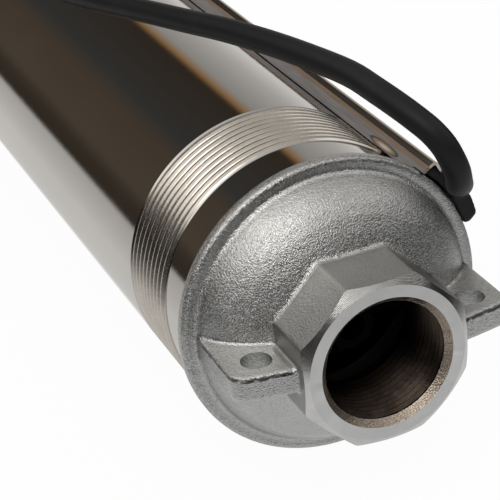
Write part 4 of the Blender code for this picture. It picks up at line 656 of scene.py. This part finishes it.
# the tie round the coil, from the part's own band with its edges rounded
def makeTie():
    piece = link(bpy.data.objects["coil_tie"].copy())
    piece.data = piece.data.copy()
    piece.name = "coilTie"
    outwards(piece)
    choose(piece)
    bpy.ops.object.parent_clear(type="CLEAR_KEEP_TRANSFORM")
    bevel(piece, 0.0004)
    piece.visible_glossy = False
    complete(piece, [moulded("tieNylon", (0.018, 0.018, 0.02), 0.35)], "black_plastic", "coil_tie", angle=40)


print("cord")
makeTie()
makeCord()


# stage: white floor and the studio that the polished metal shows

studio = {
    "key": {"place": (-0.9, -1.5, 1.7), "size": 1.3, "power": 9},
    "fill": {"place": (1.6, -0.6, 1.2), "size": 1.5, "power": 4},
    "roomRadius": 3.0,
    # light in the room by height, from the floor's white sheet over a dark horizon to the top light
    "heights": [
        (-1.0, 0.56), (-0.6, 0.64), (-0.42, 0.58), (-0.27, 0.2), (-0.14, 0.03), (0.05, 0.015),
        (0.28, 0.02), (0.4, 0.12), (0.5, 0.62), (0.7, 0.78), (1.0, 0.6),
    ],
    "leftGain": 0.8,
    "floorGlow": 0.96,  # share of the floor's picture that is plain white
    "worldLevel": 0.75,
    # strips of light and dark card past the pump's far end, by the angle round its axis
    "strips": [
        (-180, 0.05, "brown"), (-165, 0.035, "brown"), (-162.5, 0.5), (-128, 0.68),
        (-84, 0.63), (-76, 0.84), (-50, 0.82), (-35, 0.25),
        (-10, 0.76), (20, 0.5), (50, 0.34), (58, 0.25, "amber"),
        (63, 0.035, "brown"), (115, 0.045), (130, 0.075, "brown"), (160, 0.085, "brown"),
        (170, 0.085, "brown"), (180, 0.05, "brown"),
    ],
    "tints": {"plain": (1.0, 0.985, 0.96), "brown": (1.0, 0.78, 0.58), "amber": (1.25, 0.7, 0.28)},
}


# the room round the table, which only the metal shows
def makeRoom():
    deselect()
    bpy.ops.mesh.primitive_ico_sphere_add(
        subdivisions=4, radius=studio["roomRadius"], location=(0, 0, pump["axis"] / 1000)
    )
    room = bpy.context.object
    room.name = "studioRoom"
    look, place = begin("roomLight")
    ahead = look.add("ShaderNodeVectorMath", {"operation": "NORMALIZE"}, {0: place})
    x, y, z = look.split(ahead)
    turn = z.maths("ARCTAN2", x) / (2 * pi) + 0.5
    strips = []
    for degrees, level, *tint in studio["strips"]:
        parts = studio["tints"][tint[0] if tint else "plain"]
        strips.append(((degrees + 180) / 360, [level * part for part in parts]))
    heights = []
    for height, level in studio["heights"]:
        tint = (0.98, 0.99, 1.0) if height < -0.3 else (1.0, 0.99, 0.97)
        heights.append(((height + 1) / 2, [level * part for part in tint]))
    past = look.add("ShaderNodeValToRGB", {"stops": strips}, {0: turn})
    around = look.add("ShaderNodeValToRGB", {"stops": heights}, {0: z * 0.5 + 0.5})
    gain = 1 - x * studio["leftGain"] * z.within(0.1, 0.5)
    lit = look.add("ShaderNodeVectorMath", {"operation": "SCALE"}, {0: around, "Scale": gain})
    look.surface(look.glow(look.mix(y.within(0.6, 0.76), lit, past)))
    look.material.cycles.emission_sampling = "NONE"
    giveLook(room, look.material)
    for kind in ("camera", "diffuse", "transmission", "shadow"):
        setattr(room, f"visible_{kind}", False)


def makeFloor():
    deselect()
    bpy.ops.mesh.primitive_plane_add(size=14, location=(0, 0, 0))
    floor = bpy.context.object
    floor.name = "floor"
    look = Look("floorWhite")
    seen = look.add("ShaderNodeLightPath").output("Is Camera Ray") * studio["floorGlow"]
    look.finish(colour=(0.93, 0.93, 0.93), roughness=0.9)
    shaders = {0: seen, 1: Value(look, look.shader.outputs[0]), 2: look.glow((1, 1, 1))}
    look.surface(look.add("ShaderNodeMixShader", None, shaders))
    giveLook(floor, look.material)
    floor.visible_glossy = False


def makeWorld():
    world = bpy.data.worlds.new("studioWorld")
    bpy.context.scene.world = world
    look = Look("studioWorld", world)
    paths = look.add("ShaderNodeLightPath")
    seen = paths.output("Is Camera Ray")
    for kind in ("Is Transmission Ray", "Is Glossy Ray"):
        seen = seen.maths("MAXIMUM", paths.output(kind))
    background = look.tree.nodes["Background"].inputs
    look.give(background["Color"], (1, 1, 1))
    look.give(background["Strength"], studio["worldLevel"] + seen * (1 - studio["worldLevel"]))


def makeLamp(name, place, size, power):
    bpy.ops.object.light_add(type="AREA", location=place)
    lamp = bpy.context.object
    lamp.name = name
    lamp.data.shape = "DISK"
    lamp.data.size = size
    lamp.data.energy = power
    aim = Vector((0, -0.2, 0.05)) - Vector(place)
    lamp.rotation_euler = aim.to_track_quat("-Z", "Y").to_euler()


print("studio")
makeRoom()
makeFloor()
makeWorld()
makeLamp("keyLamp", **studio["key"])
makeLamp("fillLamp", **studio["fill"])
bpy.context.scene.view_settings.view_transform = "Standard"


# discharge head: a plated casting with a machined socket

head = {
    "dome": [
        (26.4, 21.2), (28.2, 21.9), (30.0, 22.7), (31.9, 23.6), (34.0, 24.8), (36.6, 26.4),
        (39.3, 28.6), (41.6, 31.0), (43.4, 33.6), (44.7, 36.2), (45.3, 38.0),
        (46.3, 38.7), (49.2, 38.6), (50.1, 39.5), (50.1, 42.7), (49.2, 43.6),
        (45.1, 43.6), (45.1, 47.0),
    ],
    "spigotEnd": 87.0,
    "spigotBore": 40.5,
    "boss": 28.94,  # to its corners
    "face": 25.4,
    "mouth": 21.5,
    "bore": 19.5,
    "socketDepth": 27.0,
    "threadPitch": 2.31,
    "threadDepth": 1.1,
    "lug": {"thick": 8.6, "reach": 45.6, "front": 7.2, "rise": 2.6, "corner": 5.5},
    "hole": {"across": 35.5, "station": 15.4, "radius": 4.8},
    "voxel": 0.62,
    "crispTo": 15.0,
    "crispFrom": 47.2,
}


def lugOutline():
    lug = head["lug"]
    back = 41.0
    right = [(lug["reach"], back)]
    for step in range(7):
        angle = radians(-80 * step / 6)
        middle = (lug["reach"] - lug["corner"], lug["front"] + lug["corner"])
        right.append((middle[0] + lug["corner"] * cos(angle), middle[1] + lug["corner"] * sin(angle)))
    right.append((26.0, lug["front"] - lug["rise"]))
    return right + [(-x, y) for x, y in reversed(right)]


# repeats the rings of one tooth along a thread, and gives the station where it stops
def threadRings(rings, station, end, pitch, teeth):
    while station < end:
        rings += [(radius, station + pitch * share) for radius, share in teeth]
        station += pitch
    return station


def solidTurn(name, rings, sides=128):  # with its ends filled
    piece = turnPiece(name, rings, sides)
    edit(piece)
    bpy.ops.mesh.select_all(action="DESELECT")
    bpy.ops.mesh.select_mode(type="EDGE")
    bpy.ops.mesh.select_non_manifold()
    bpy.ops.mesh.fill_holes(sides=0)
    leave()
    return outwards(piece)


def waterwayRings():
    bore, pitch = head["bore"], head["threadPitch"]
    crest = bore + head["threadDepth"]
    rings = [(head["mouth"] + 4, -4.0), (head["mouth"], 0.0), (bore, 2.0)]
    teeth = [(bore, 0), (crest, 0.42), (crest, 0.55), (bore, 0.93)]
    threadRings(rings, 2.6, head["socketDepth"] - 1 - pitch, pitch, teeth)
    return rings + [(head["bore"], head["socketDepth"]), (25.5, 31.4), (29.0, 31.4), (29.0, 61.0)]


# a dark parting line under the upper edge of the lugs, and pits along the rim
def headMarks(look, place):
    x, y, z = look.split(place)
    wander = look.noise(place, 420, 3)
    height = z * 1000 - pump["axis"] + (wander - 0.5) * 1.6
    line = height.within(2.3, 2.8) * (1 - height.within(3.3, 3.8)) * wander.within(0.3, 0.5)
    out = (x * x) ** 0.5
    hole = head["hole"]
    fromHole = ((out - hole["across"] / 1000) ** 2 + (y - (hole["station"] + pump["face"]) / 1000) ** 2) ** 0.5
    onLug = out.within(0.0275, 0.029) * (1 - y.within(-0.298, -0.292)) * fromHole.within(0.0051, 0.0055)
    pits = look.noise(place, 2100, 2).within(0.5, 0.64) * radiusOf(look, place).within(0.0472, 0.0482)
    return (line * onLug * 0.9 + pits * 0.4).maths("MINIMUM", 0.9)


def makeHead():
    casting = solidTurn("dischargeHead", head["dome"], 160)
    lug = head["lug"]
    boss = prism("boss", rounded(corners(head["boss"], 8, 22.5), 0.5, 2, True), 34, alongPump(-2.0))
    flat = Matrix.Translation(at(0, 0, -lug["thick"] / 2))
    lugs = prism("lugs", rounded(lugOutline(), 0.8, 2, True), lug["thick"], flat)
    bevel(lugs, 0.0008, angle_limit=1.0)
    joined(casting, boss, lugs)
    applyModifier(casting, "REMESH", mode="VOXEL", voxel_size=head["voxel"] / 1000)
    soft = casting.vertex_groups.new(name="soft")
    for vertex in casting.data.vertices:
        radius, station = spotOf(vertex.co)
        crisp = station < head["crispTo"] or radius > head["crispFrom"]
        soft.add([vertex.index], 0.14 if crisp else 0.6, "REPLACE")
    applyModifier(casting, "SMOOTH", factor=0.5, iterations=8, vertex_group="soft")
    # machining: the face and its outer chamfer, the socket, the rope holes
    outer = [(70, -8), (0.5, -8), (0.5, 0.0), (head["face"], 0.0), (head["boss"] + 0.3, 2.7)]
    outer += [(head["boss"] + 0.3, 2.8), (70, 2.8)]
    subtract(casting, turnPiece("faceTool", outer + outer[:1]))
    subtract(casting, solidTurn("waterway", waterwayRings(), 96))
    hole = head["hole"]
    for side in (-1, 1):
        deselect()
        middle = at(side * hole["across"], hole["station"], 0)
        bpy.ops.mesh.primitive_cylinder_add(vertices=48, radius=hole["radius"] / 1000, depth=0.03, location=middle)
        subtract(casting, bpy.context.object)
    spigot = tube(
        "spigot",
        [(45.1, 47.0), (45.1, 86.2), (44.4, head["spigotEnd"])],
        [(head["spigotBore"], 47.0), (head["spigotBore"], head["spigotEnd"])],
        96,
    )
    settle(joined(casting, spigot), 24)
    giveLook(
        casting,
        castSteel("platedCasting", marks=headMarks),
        turnedSteel("machinedFace", (0.76, 0.75, 0.74), 0.3),
        castSteel("mouthChamfer", (0.5, 0.42, 0.34), 0.25, 0.9),
        threadedSteel("pipeThread"),
        castSteel("bossSkin", (0.44, 0.435, 0.42), 0.3, 0.9),
        turnedSteel("faceChamfer", (0.76, 0.745, 0.72), 0.19),
    )
    for polygon in casting.data.polygons:
        radius, station = spotOf(polygon.center)
        if station < 2.85 and radius > head["mouth"] and abs(polygon.normal.y) > 0.35:
            polygon.material_index = 1 if abs(polygon.normal.y) > 0.97 else 5
        elif station < 2.02 and radius < head["mouth"]:
            polygon.material_index = 2
        elif radius < head["mouth"] and station < 33:
            polygon.material_index = 3
        elif station < 20 and radius < head["boss"] + 0.5 and abs(polygon.normal.y) < 0.35:
            polygon.material_index = 4
    register(casting, "plated_casting", "discharge_head")


print("head")
makeHead()


# jacket: polished tube with a grooved thread band at both ends

jacket = {
    "outside": 48.0, "neck": 47.0, "bore": 46.5, "threadBore": 45.4, "from": 43.9, "to": 331.4,
    "grooves": 9, "depth": 0.85, "bands": [(61.4, 89.8), (285.5, 313.9)],
}


def grooveRings(start, end):
    pitch = (end - start) / jacket["grooves"]
    rings = []
    for groove in range(jacket["grooves"]):
        for share in (0.0, 0.08, 0.17, 0.28, 0.39, 0.5, 0.61, 0.72, 0.83, 0.92):
            swell = sin(pi * share) ** 0.62
            rings.append((jacket["outside"] - jacket["depth"] * (1 - swell), start + (groove + share) * pitch))
    return rings + [(jacket["outside"] - jacket["depth"], end)]


def makeJacket():
    full, neck, bore, throat = (jacket[name] for name in ("outside", "neck", "bore", "threadBore"))
    start, end = jacket["from"], jacket["to"]
    upper, low = jacket["bands"]
    outside = rounded([(neck - 0.8, start), (neck, start), (neck, 61.0)], 0.5)
    outside += grooveRings(*upper)
    outside += [(full - 0.3, 89.9), (full, 90.3), (full, 285.0), (full - 0.3, 285.4)]
    outside += grooveRings(*low)
    outside += rounded([(neck, 314.2), (neck, end), (neck - 0.8, end)], 0.5)
    inside = [(throat, start), (throat, 87.3), (bore, 87.3), (bore, 286.0), (throat, 286.0), (throat, end)]
    piece = tube("jacketTube", outside, inside, 192)
    settle(piece, 40)
    thread = turnedSteel("rolledThread", (0.68, 0.62, 0.55), 0.24, 0.5, True)
    giveLook(piece, mirrorSteel("polishedJacket"), thread)
    for polygon in piece.data.polygons:
        station = spotOf(polygon.center)[1]
        if any(start < station < end for start, end in jacket["bands"]):
            polygon.material_index = 1
    register(piece, "mirror_steel", "pump_jacket")


print("jacket")
makeJacket()


# cable guard: a pressed channel over the flat lead, with an oval dimple in each wall

guard = {
    "angle": 32.75, "half": 13.6, "seat": 48.3, "rimSeat": 50.35, "rimEnd": 44.0, "top": 54.1,
    "corner": 1.7, "sheet": 1.0, "slant": 7.2, "start": 38.5, "end": 397.7, "wallParts": 14,
    "dimple": {"station": 63.6, "length": 18.5, "height": 47.7, "width": 2.5, "depth": 0.6},
    "paintedReflection": (49.7, 50.1), "fold": (51.0, 51.3),  # heights where the matte wall turns to a painted brown reflection, then bright
}


def guardOutline(inset):
    half, top = guard["half"] - inset, guard["top"] - inset
    corner = max(guard["corner"] - inset, 0.4)
    foot = sqrt(guard["seat"] ** 2 - half**2)
    parts = guard["wallParts"]
    side = [(foot + (top - corner - foot) * step / parts, half) for step in range(parts)]
    for step in range(7):
        angle = radians(90 - 90 * step / 6)
        side.append((top - corner + corner * cos(angle), half - corner + corner * sin(angle)))
    side.append((top, half * 0.35))
    return side + [(x, -y) for x, y in reversed(side)]


# matte brushed wall, a painted brown reflection above it and a polished fold
def foldedSteel(name):
    look, place = begin(name)
    x, y, z = look.split(place)
    angle = radians(guard["angle"])
    height = (x * cos(angle) + (z - pump["axis"] / 1000) * sin(angle)) * 1000
    streaks = look.streaks(place, (2600, 60, 2600))
    brown = height.within(*guard["paintedReflection"])
    bright = height.within(*guard["fold"])
    wall = look.mix(streaks.within(0.3, 0.7), (0.20, 0.19, 0.185), (0.29, 0.27, 0.26))
    # painted reflection: a brown band between the matte wall and the fold
    paintedReflection = look.mix(streaks.within(0.3, 0.7), (0.23, 0.15, 0.09), (0.30, 0.20, 0.13))
    fold = look.mix(streaks.within(0.3, 0.7), (0.56, 0.50, 0.44), (0.62, 0.57, 0.50))
    tint = look.mix(bright, look.mix(brown, wall, paintedReflection), fold)
    # the dimple's oval: a painted highlight in its middle, fading to brown, inside a painted shade line
    dimple = guard["dimple"]
    along = (y * 1000 - pump["face"] - dimple["station"]) / (dimple["length"] / 2)
    oval = (along**2 + ((height - dimple["height"]) / (dimple["width"] / 2)) ** 2) ** 0.5
    paintedDimpleHighlight = 1 - oval.within(0.8, 0.9)
    # painted shade: the dark line round the dimple's oval
    outline = oval.within(0.8, 0.9) * (1 - oval.within(1.0, 1.12))
    # painted highlight: light in the dimple's middle, brown towards its edge
    tint = look.mix(paintedDimpleHighlight, tint, look.mix(oval.within(0.1, 0.75), (0.66, 0.60, 0.54), (0.30, 0.20, 0.12)))
    tint = look.mix(outline * 0.85, tint, (0.05, 0.04, 0.035))
    rough = 0.42 - bright * 0.28 + (streaks - 0.5) * 0.06
    normal = look.bump(streaks, 0.08, 0.0001)
    return look.finish(colour=tint, metallic=0.25 + bright * 0.75, roughness=rough, normal=normal)


def makeGuard():
    outer, inner = guardOutline(0.0), guardOutline(guard["sheet"])
    outline = outer + inner[::-1]
    stations = [guard["start"]]
    while stations[-1] < 76:
        stations.append(stations[-1] + 0.9)
    stations += [120, 200, 300, 380, guard["end"]]
    piece = flatOutline("cableGuard", outline, "NOTHING")
    edit(piece)
    bpy.ops.mesh.select_mode(type="EDGE")
    for was, now in zip(stations, stations[1:]):
        extrude(0, 0, now - was)
    leave()
    # the mouth is cut aslant, the walls stop short of the head's rim, and the dimples are pressed in
    dimple = guard["dimple"]
    for vertex in piece.data.vertices:
        x, y, z = vertex.co * 1000
        station = abs(z) + guard["start"]
        inset = 0.0 if abs(y) > guard["half"] - 0.5 else guard["sheet"]
        wallTop = guard["top"] - inset - max(guard["corner"] - inset, 0.4)
        if x < wallTop and abs(y) > guard["half"] - 1.2 and station < guard["rimEnd"]:
            width = guard["half"] - inset
            foot = sqrt(guard["seat"] ** 2 - width**2)
            raised = sqrt(guard["rimSeat"] ** 2 - width**2)
            share = (x - foot) / (wallTop - foot)
            vertex.co.x = (raised + (wallTop - raised) * share) / 1000
        if station < 50:
            back = guard["slant"] * min(max((11 + y) / 16, 0), 1)
            vertex.co.z += copysign(back * (50 - station) / (50 - guard["start"]), z or 1) / 1000
        if abs(y) > guard["half"] - 1.4 and x < guard["top"] - 3.0:
            along = abs(station - dimple["station"]) / (dimple["length"] / 2)
            across = abs(x - dimple["height"]) / (dimple["width"] / 2)
            press = max(0.0, 1 - along**2.5 - across**2.2)
            vertex.co.y -= copysign(dimple["depth"] * press**0.6, y) / 1000
    mesh = bmesh.new()
    mesh.from_mesh(piece.data)
    half = len(outline) // 2
    mesh.verts.ensure_lookup_table()
    for first in (0, len(outline) * (len(stations) - 1)):
        ring = [mesh.verts[first + n] for n in range(len(outline))]
        for n in range(half - 1):
            face = mesh.faces.new((ring[n], ring[n + 1], ring[-n - 2], ring[-n - 1]))
            face.material_index = 1
    bmesh.ops.recalc_face_normals(mesh, faces=mesh.faces)
    mesh.to_mesh(piece.data)
    mesh.free()
    piece.matrix_world = alongPump(guard["start"], guard["angle"])
    looks = [foldedSteel("guardSteel"), moulded("guardCutEdge", (0.03, 0.027, 0.025), 0.55)]
    complete(piece, looks, "mirror_steel", "cable_guard", angle=35)


print("guard")
makeGuard()


boot = {
    # height and offset in the guard's own frame
    "outline": [
        (53.1, 11.6), (53.4, 9.2), (54.3, 7.0), (54.9, 2.5), (55.9, -2.0), (56.0, -7.6), (54.1, -13.9),
        (50.4, -14.5), (48.7, -13.6), (49.6, -9.0), (50.5, -4.0), (50.7, 0.0), (50.5, 5.0), (49.2, 11.4),
    ],
    "from": 40.4,
    "to": 45.4,
    "tongue": {"low": 49.0, "high": 52.4, "from": 44.6, "to": 57.0, "half": 11.2},
    "neck": {"radius": 4.3, "length": 6.2, "back": 3.2},
}


def makeBoot():
    toMouth = alongPump(boot["from"], guard["angle"])
    outline = [(height, -offset) for height, offset in boot["outline"]]
    piece = prism("leadBoot", rounded(outline, 1.2, 3, True), boot["to"] - boot["from"], toMouth)
    deselect()
    bpy.ops.mesh.primitive_cube_add(size=1, location=(0, 0, 0))
    tongue = bpy.context.object
    shape = boot["tongue"]
    for vertex in tongue.data.vertices:
        x = shape["high"] if vertex.co.x > 0 else shape["low"]
        y = (shape["to"] if vertex.co.y > 0 else shape["from"]) + pump["face"]
        vertex.co = Vector((x, y, shape["half"] * copysign(1, vertex.co.z))) / 1000
    bevel(tongue, 0.0012, 3, limit_method="NONE")
    turn = Matrix.Rotation(radians(-guard["angle"]), 4, "Y")
    tongue.matrix_world = Matrix.Translation((0, 0, pump["axis"] / 1000)) @ turn
    settle(tongue)
    start, after = at(*cord["route"][0]), at(*cord["route"][1])
    direction = (after - start).normalized()
    deselect()
    bpy.ops.mesh.primitive_cylinder_add(
        vertices=32,
        radius=boot["neck"]["radius"] / 1000,
        depth=boot["neck"]["length"] / 1000,
        location=start - direction * boot["neck"]["back"] / 1000,
        rotation=Vector((0, 0, 1)).rotation_difference(direction).to_euler(),
    )
    neck = bpy.context.object
    bevel(neck, 0.0007, 3)
    settle(neck)
    joined(piece, tongue, neck)
    applyModifier(piece, "REMESH", mode="VOXEL", voxel_size=0.0005)
    applyModifier(piece, "SMOOTH", factor=0.5, iterations=6)
    complete(piece, [rubber("bootRubber", (0.009, 0.009, 0.010), 0.42)], "rubber", "cable_boot", angle=60)


print("boot")
makeBoot()


# pump's inlet and motor: turned pieces with their openings cut afterwards

lower = {
    "spoke": 77.75,  # angle of the first window and of the first stud
    "studCircle": 38.1,
    "bracket": {
        "outside": [
            (45.1, 286.3), (45.1, 331.7), (49.3, 331.7), (50.1, 332.5), (50.1, 335.9), (49.3, 336.7),
            (46.5, 336.7), (46.5, 383.4), (47.3, 383.4), (47.3, 393.4),
        ],
        "inside": [
            (24.84, 286.3), (24.84, 289.2), (40, 299.2), (40, 383.4), (24, 383.4), (24, 391),
            (44, 391), (44, 393.4),
        ],
        "window": {"half": 23.2, "from": 339.2, "to": 383.3, "corner": 5},
        "studHole": 4.3,
    },
    "strainer": {
        "outside": 47.6, "inside": 46.8, "from": 337.0, "to": 383.1, "slot": (4.0, 343.0, 377.1), "slots": 12,
    },
    "topBell": [
        (14.5, 391.6), (43.7, 391.6), (43.7, 393.7), (47.6, 393.7), (47.6, 427.7), (46.05, 427.7),
        (46.05, 439.7), (41.05, 439.7), (41.05, 422.7), (22, 422.7), (22, 442.7), (16.3, 442.7),
        (16.3, 414.4), (10.5, 414.4), (10.5, 402.7), (14.5, 402.7),
    ],
    "bottomBell": [
        (46.05, 610), (46.05, 622.3), (47.6, 622.3), (47.6, 646.3), (42.3, 646.3), (42.3, 630.9),
        (6.5, 630.9), (6.5, 623.9), (34.5, 623.9), (42.05, 616.9), (42.05, 610),
    ],
    "shell": [(46.4, 428.0), (47.72, 428.0), (47.72, 622.0), (46.4, 622.0)],
    "cover": [
        (0.5, 656.1), (37.75, 656.1), (40.75, 646.7), (47.6, 646.7), (47.6, 655.6), (46.6, 657.6),
        (44.6, 658.6), (0.5, 658.6),
    ],
    "nut": {"corner": 7.5, "from": 377.6, "height": 6.4},
    "stud": {"radius": 4.0, "root": 3.55, "pitch": 1.25, "from": 373.9, "to": 405.7},
}


# local y runs along the pump and local z away from its axis at the angle
def facing(degrees, station=0.0, out=0.0):
    angle = radians(degrees)
    turn = Matrix(((sin(angle), 0, cos(angle)), (0, 1, 0), (-cos(angle), 0, sin(angle))))
    away = Vector((cos(angle), 0, sin(angle))) * out / 1000
    return Matrix.Translation(at(0, station, 0) + away) @ turn.to_4x4()


def box(half, start, end, corner, depth, place):
    outline = [(-half, start), (half, start), (half, end), (-half, end)]
    return prism("tool", rounded(outline, corner, 4, True) if corner else outline, depth, place)


def drill(radius, degrees, out, start, end):
    deselect()
    angle = radians(degrees)
    middle = at(out * cos(angle), (start + end) / 2, out * sin(angle))
    size = {"vertices": 40, "radius": radius / 1000, "depth": (end - start) / 1000}
    bpy.ops.mesh.primitive_cylinder_add(location=middle, rotation=(radians(90), 0, 0), **size)
    return bpy.context.object


def loop(rings, corner=0.5):
    rings = rounded(rings, corner, 2, True)
    return held(rings + rings[:1])


def makeInlet():
    shape = lower["bracket"]
    window, spoke = shape["window"], lower["spoke"]
    piece = turnPiece("suctionBracket", loop(shape["outside"] + shape["inside"][::-1], 0.4))
    size = [window[name] for name in ("half", "from", "to", "corner")]
    for turn in (0, 90):
        subtract(piece, box(*size, 120, facing(spoke + turn, 0, -60)))
    for turn in range(4):
        subtract(piece, drill(shape["studHole"], spoke + 90 * turn, lower["studCircle"], 380, 396))
    subtract(piece, box(17.2, 330.7, 337.3, 0, 10, facing(guard["angle"], 0, 45.15)))
    subtract(piece, box(6.8, 383.0, 394.4, 0, 16, facing(guard["angle"], 0, 39.1)))
    complete(piece, [castSteel("bracketCasting", grain=0.8)], "plated_casting", "suction_bracket")
    shape = lower["strainer"]
    ring = [(shape["outside"], shape["from"]), (shape["outside"], shape["to"]), (shape["inside"], shape["to"])]
    piece = turnPiece("inletStrainer", loop([*ring, (shape["inside"], shape["from"])], 0.2), 144)
    width, start, end = shape["slot"]
    slots = []
    for number in range(shape["slots"]):
        place = facing(360 / shape["slots"] * number, 0, 40)
        slots.append(box(width / 2, start, end, width / 2 - 0.05, 14, place))
    subtract(piece, joined(*slots))
    complete(piece, [mirrorSteel("strainerSheet", roughness=0.22)], "stainless", "inlet_strainer")


def greyCasting(name, roughness=0.42, grain=0.5):
    return castSteel(name, (0.42, 0.43, 0.44), roughness, grain)


def makeMotor():
    spoke = lower["spoke"]
    piece = turnPiece("motorTopBell", loop(lower["topBell"]))
    for turn in range(4):
        subtract(piece, drill(4.05, spoke + 90 * turn, lower["studCircle"], 389, 406))
    subtract(piece, box(6.3, 388.7, 413.7, 1, 16, facing(guard["angle"], 0, 37.3)))
    complete(piece, [greyCasting("topBellCasting")], "grey_casting", "motor_top_bell")
    piece = turnPiece("motorShell", loop(lower["shell"], 0.3), 144)
    complete(piece, [mirrorSteel("motorShellSteel", roughness=0.2)], "brushed_steel", "motor_shell")
    piece = turnPiece("motorBottomBell", loop(lower["bottomBell"]))
    complete(piece, [greyCasting("bottomBellCasting")], "grey_casting", "motor_bottom_bell")
    first, *middle, last = lower["cover"]
    piece = solidTurn("baseCover", held([first, *rounded(middle, 0.5, 2), last]))
    complete(piece, [moulded("coverMoulding", (0.025, 0.025, 0.027))], "black_plastic", "base_cover")


def makeFasteners():
    nut, stud = lower["nut"], lower["stud"]
    first = bevel(prism("motorNut", corners(nut["corner"], 6), nut["height"], alongPump(nut["from"])), 0.0005)
    full, root = stud["radius"], stud["root"]
    rings = [(root, stud["from"])]
    station = threadRings(rings, stud["from"] + 0.4, 391, stud["pitch"], [(full, 0.3), (full, 0.5), (root, 1)])
    rod = settle(solidTurn("motorStud", [*rings, (full, station + 0.5), (full, stud["to"])], 32))
    for kind, piece, look in (
        ("nut", first, turnedSteel("studNutSteel", (0.55, 0.55, 0.54), 0.3)),
        ("stud", rod, turnedSteel("studSteel", (0.5, 0.5, 0.5), 0.35, 1.25, True)),
    ):
        copies = [piece]
        for number in range(4):
            if number:
                copies.append(link(piece.copy()))
                copies[-1].data = piece.data.copy()
            copy = copies[-1]
            copy.name = f"motor{kind.capitalize()}{number + 1}"
            angle = radians(lower["spoke"] + 90 * number)
            copy.location = Vector((cos(angle), 0, sin(angle))) * lower["studCircle"] / 1000
            giveLook(copy, look)
            register(copy, "steel", f"motor_{kind}_{number + 1}")
        for copy in copies:
            settle(copy, 35)


# valve spring: the turns lie closer at its ends
spring = {"radius": 10.5, "wire": 0.8, "from": 37.9, "to": 52.9, "turns": 3, "swing": 2.0, "parts": 40}


def makeSpring():
    length = spring["to"] - spring["from"]
    steps = spring["turns"] * spring["parts"]
    points = []
    for step in range(steps + 1):
        share = step / steps
        angle = tau * spring["turns"] * share
        station = spring["from"] + length * share - spring["swing"] * sin(tau * share)
        points.append(at(spring["radius"] * cos(angle), station, spring["radius"] * sin(angle)))
    piece = asMesh(curveAlong("valveSpring", points, spring["wire"], 3))
    giveLook(piece, turnedShaft("springWire"))
    tuple(at(0, spring["from"], 0))
    tuple(at(0, spring["to"], 0))
    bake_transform(piece)
    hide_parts("valve_spring")


print("spring, inlet and motor")
makeSpring()
makeInlet()
makeMotor()
makeFasteners()


# the CAD nodes that stay, each with its own finish

darkMoulding, carbon = (0.03, 0.03, 0.032), (0.02, 0.02, 0.022)
finishes = {
    # painted shade: the valve guide and poppet deep in the bore are near black, with little sheen
    "valve_guide": (moulded, (0.002, 0.002, 0.002), 0.9, 0.1),
    "valve_poppet": (moulded, (0.003, 0.003, 0.003), 0.9, 0.1),
    "bearing_spider": (moulded, (0.07, 0.07, 0.075)),
    "impeller": (castSteel, (0.62, 0.42, 0.20), 0.38, 0.3),
    "diffuser": (moulded, darkMoulding),
    "upper_bearing": (moulded, carbon, 0.35),
    "lower_bearing": (moulded, carbon, 0.35),
    "thrust_pads": (moulded, darkMoulding, 0.3),
    "bearing_carrier": (greyCasting, 0.45, 0.3),
    "guard_screw": (turnedSteel, (0.6, 0.59, 0.57), 0.25),
}
for make, nodes in (
    (rubber, ("valve_seal", "upper_bush", "shaft_seal", "sand_slinger", "pressure_diaphragm", "motor_lead")),
    (turnedSteel, ("valve_seat", "shaft_nut", "thrust_disc")),
    (turnedShaft, ("pump_shaft", "shaft_coupling", "motor_shaft")),
    (laminated, ("rotor_core", "stator_core")),
    (wound, ("upper_winding", "lower_winding")),
):
    for node in nodes:
        finishes[node] = (make,)


def dressNodes():
    looks = {kind: make(f"{kind}_look", *settings) for kind, (make, *settings) in finishes.items()}
    for name, piece in sorted(bpy.data.objects.items()):
        if name not in frame["nodes"]:
            continue
        kind = name if name in finishes else name.rsplit("_", 1)[0]
        if kind not in finishes:
            print("replaced or plain:", name)
            continue
        for slot in piece.material_slots:
            slot.material = looks[kind]


print("finishes")
dressNodes()
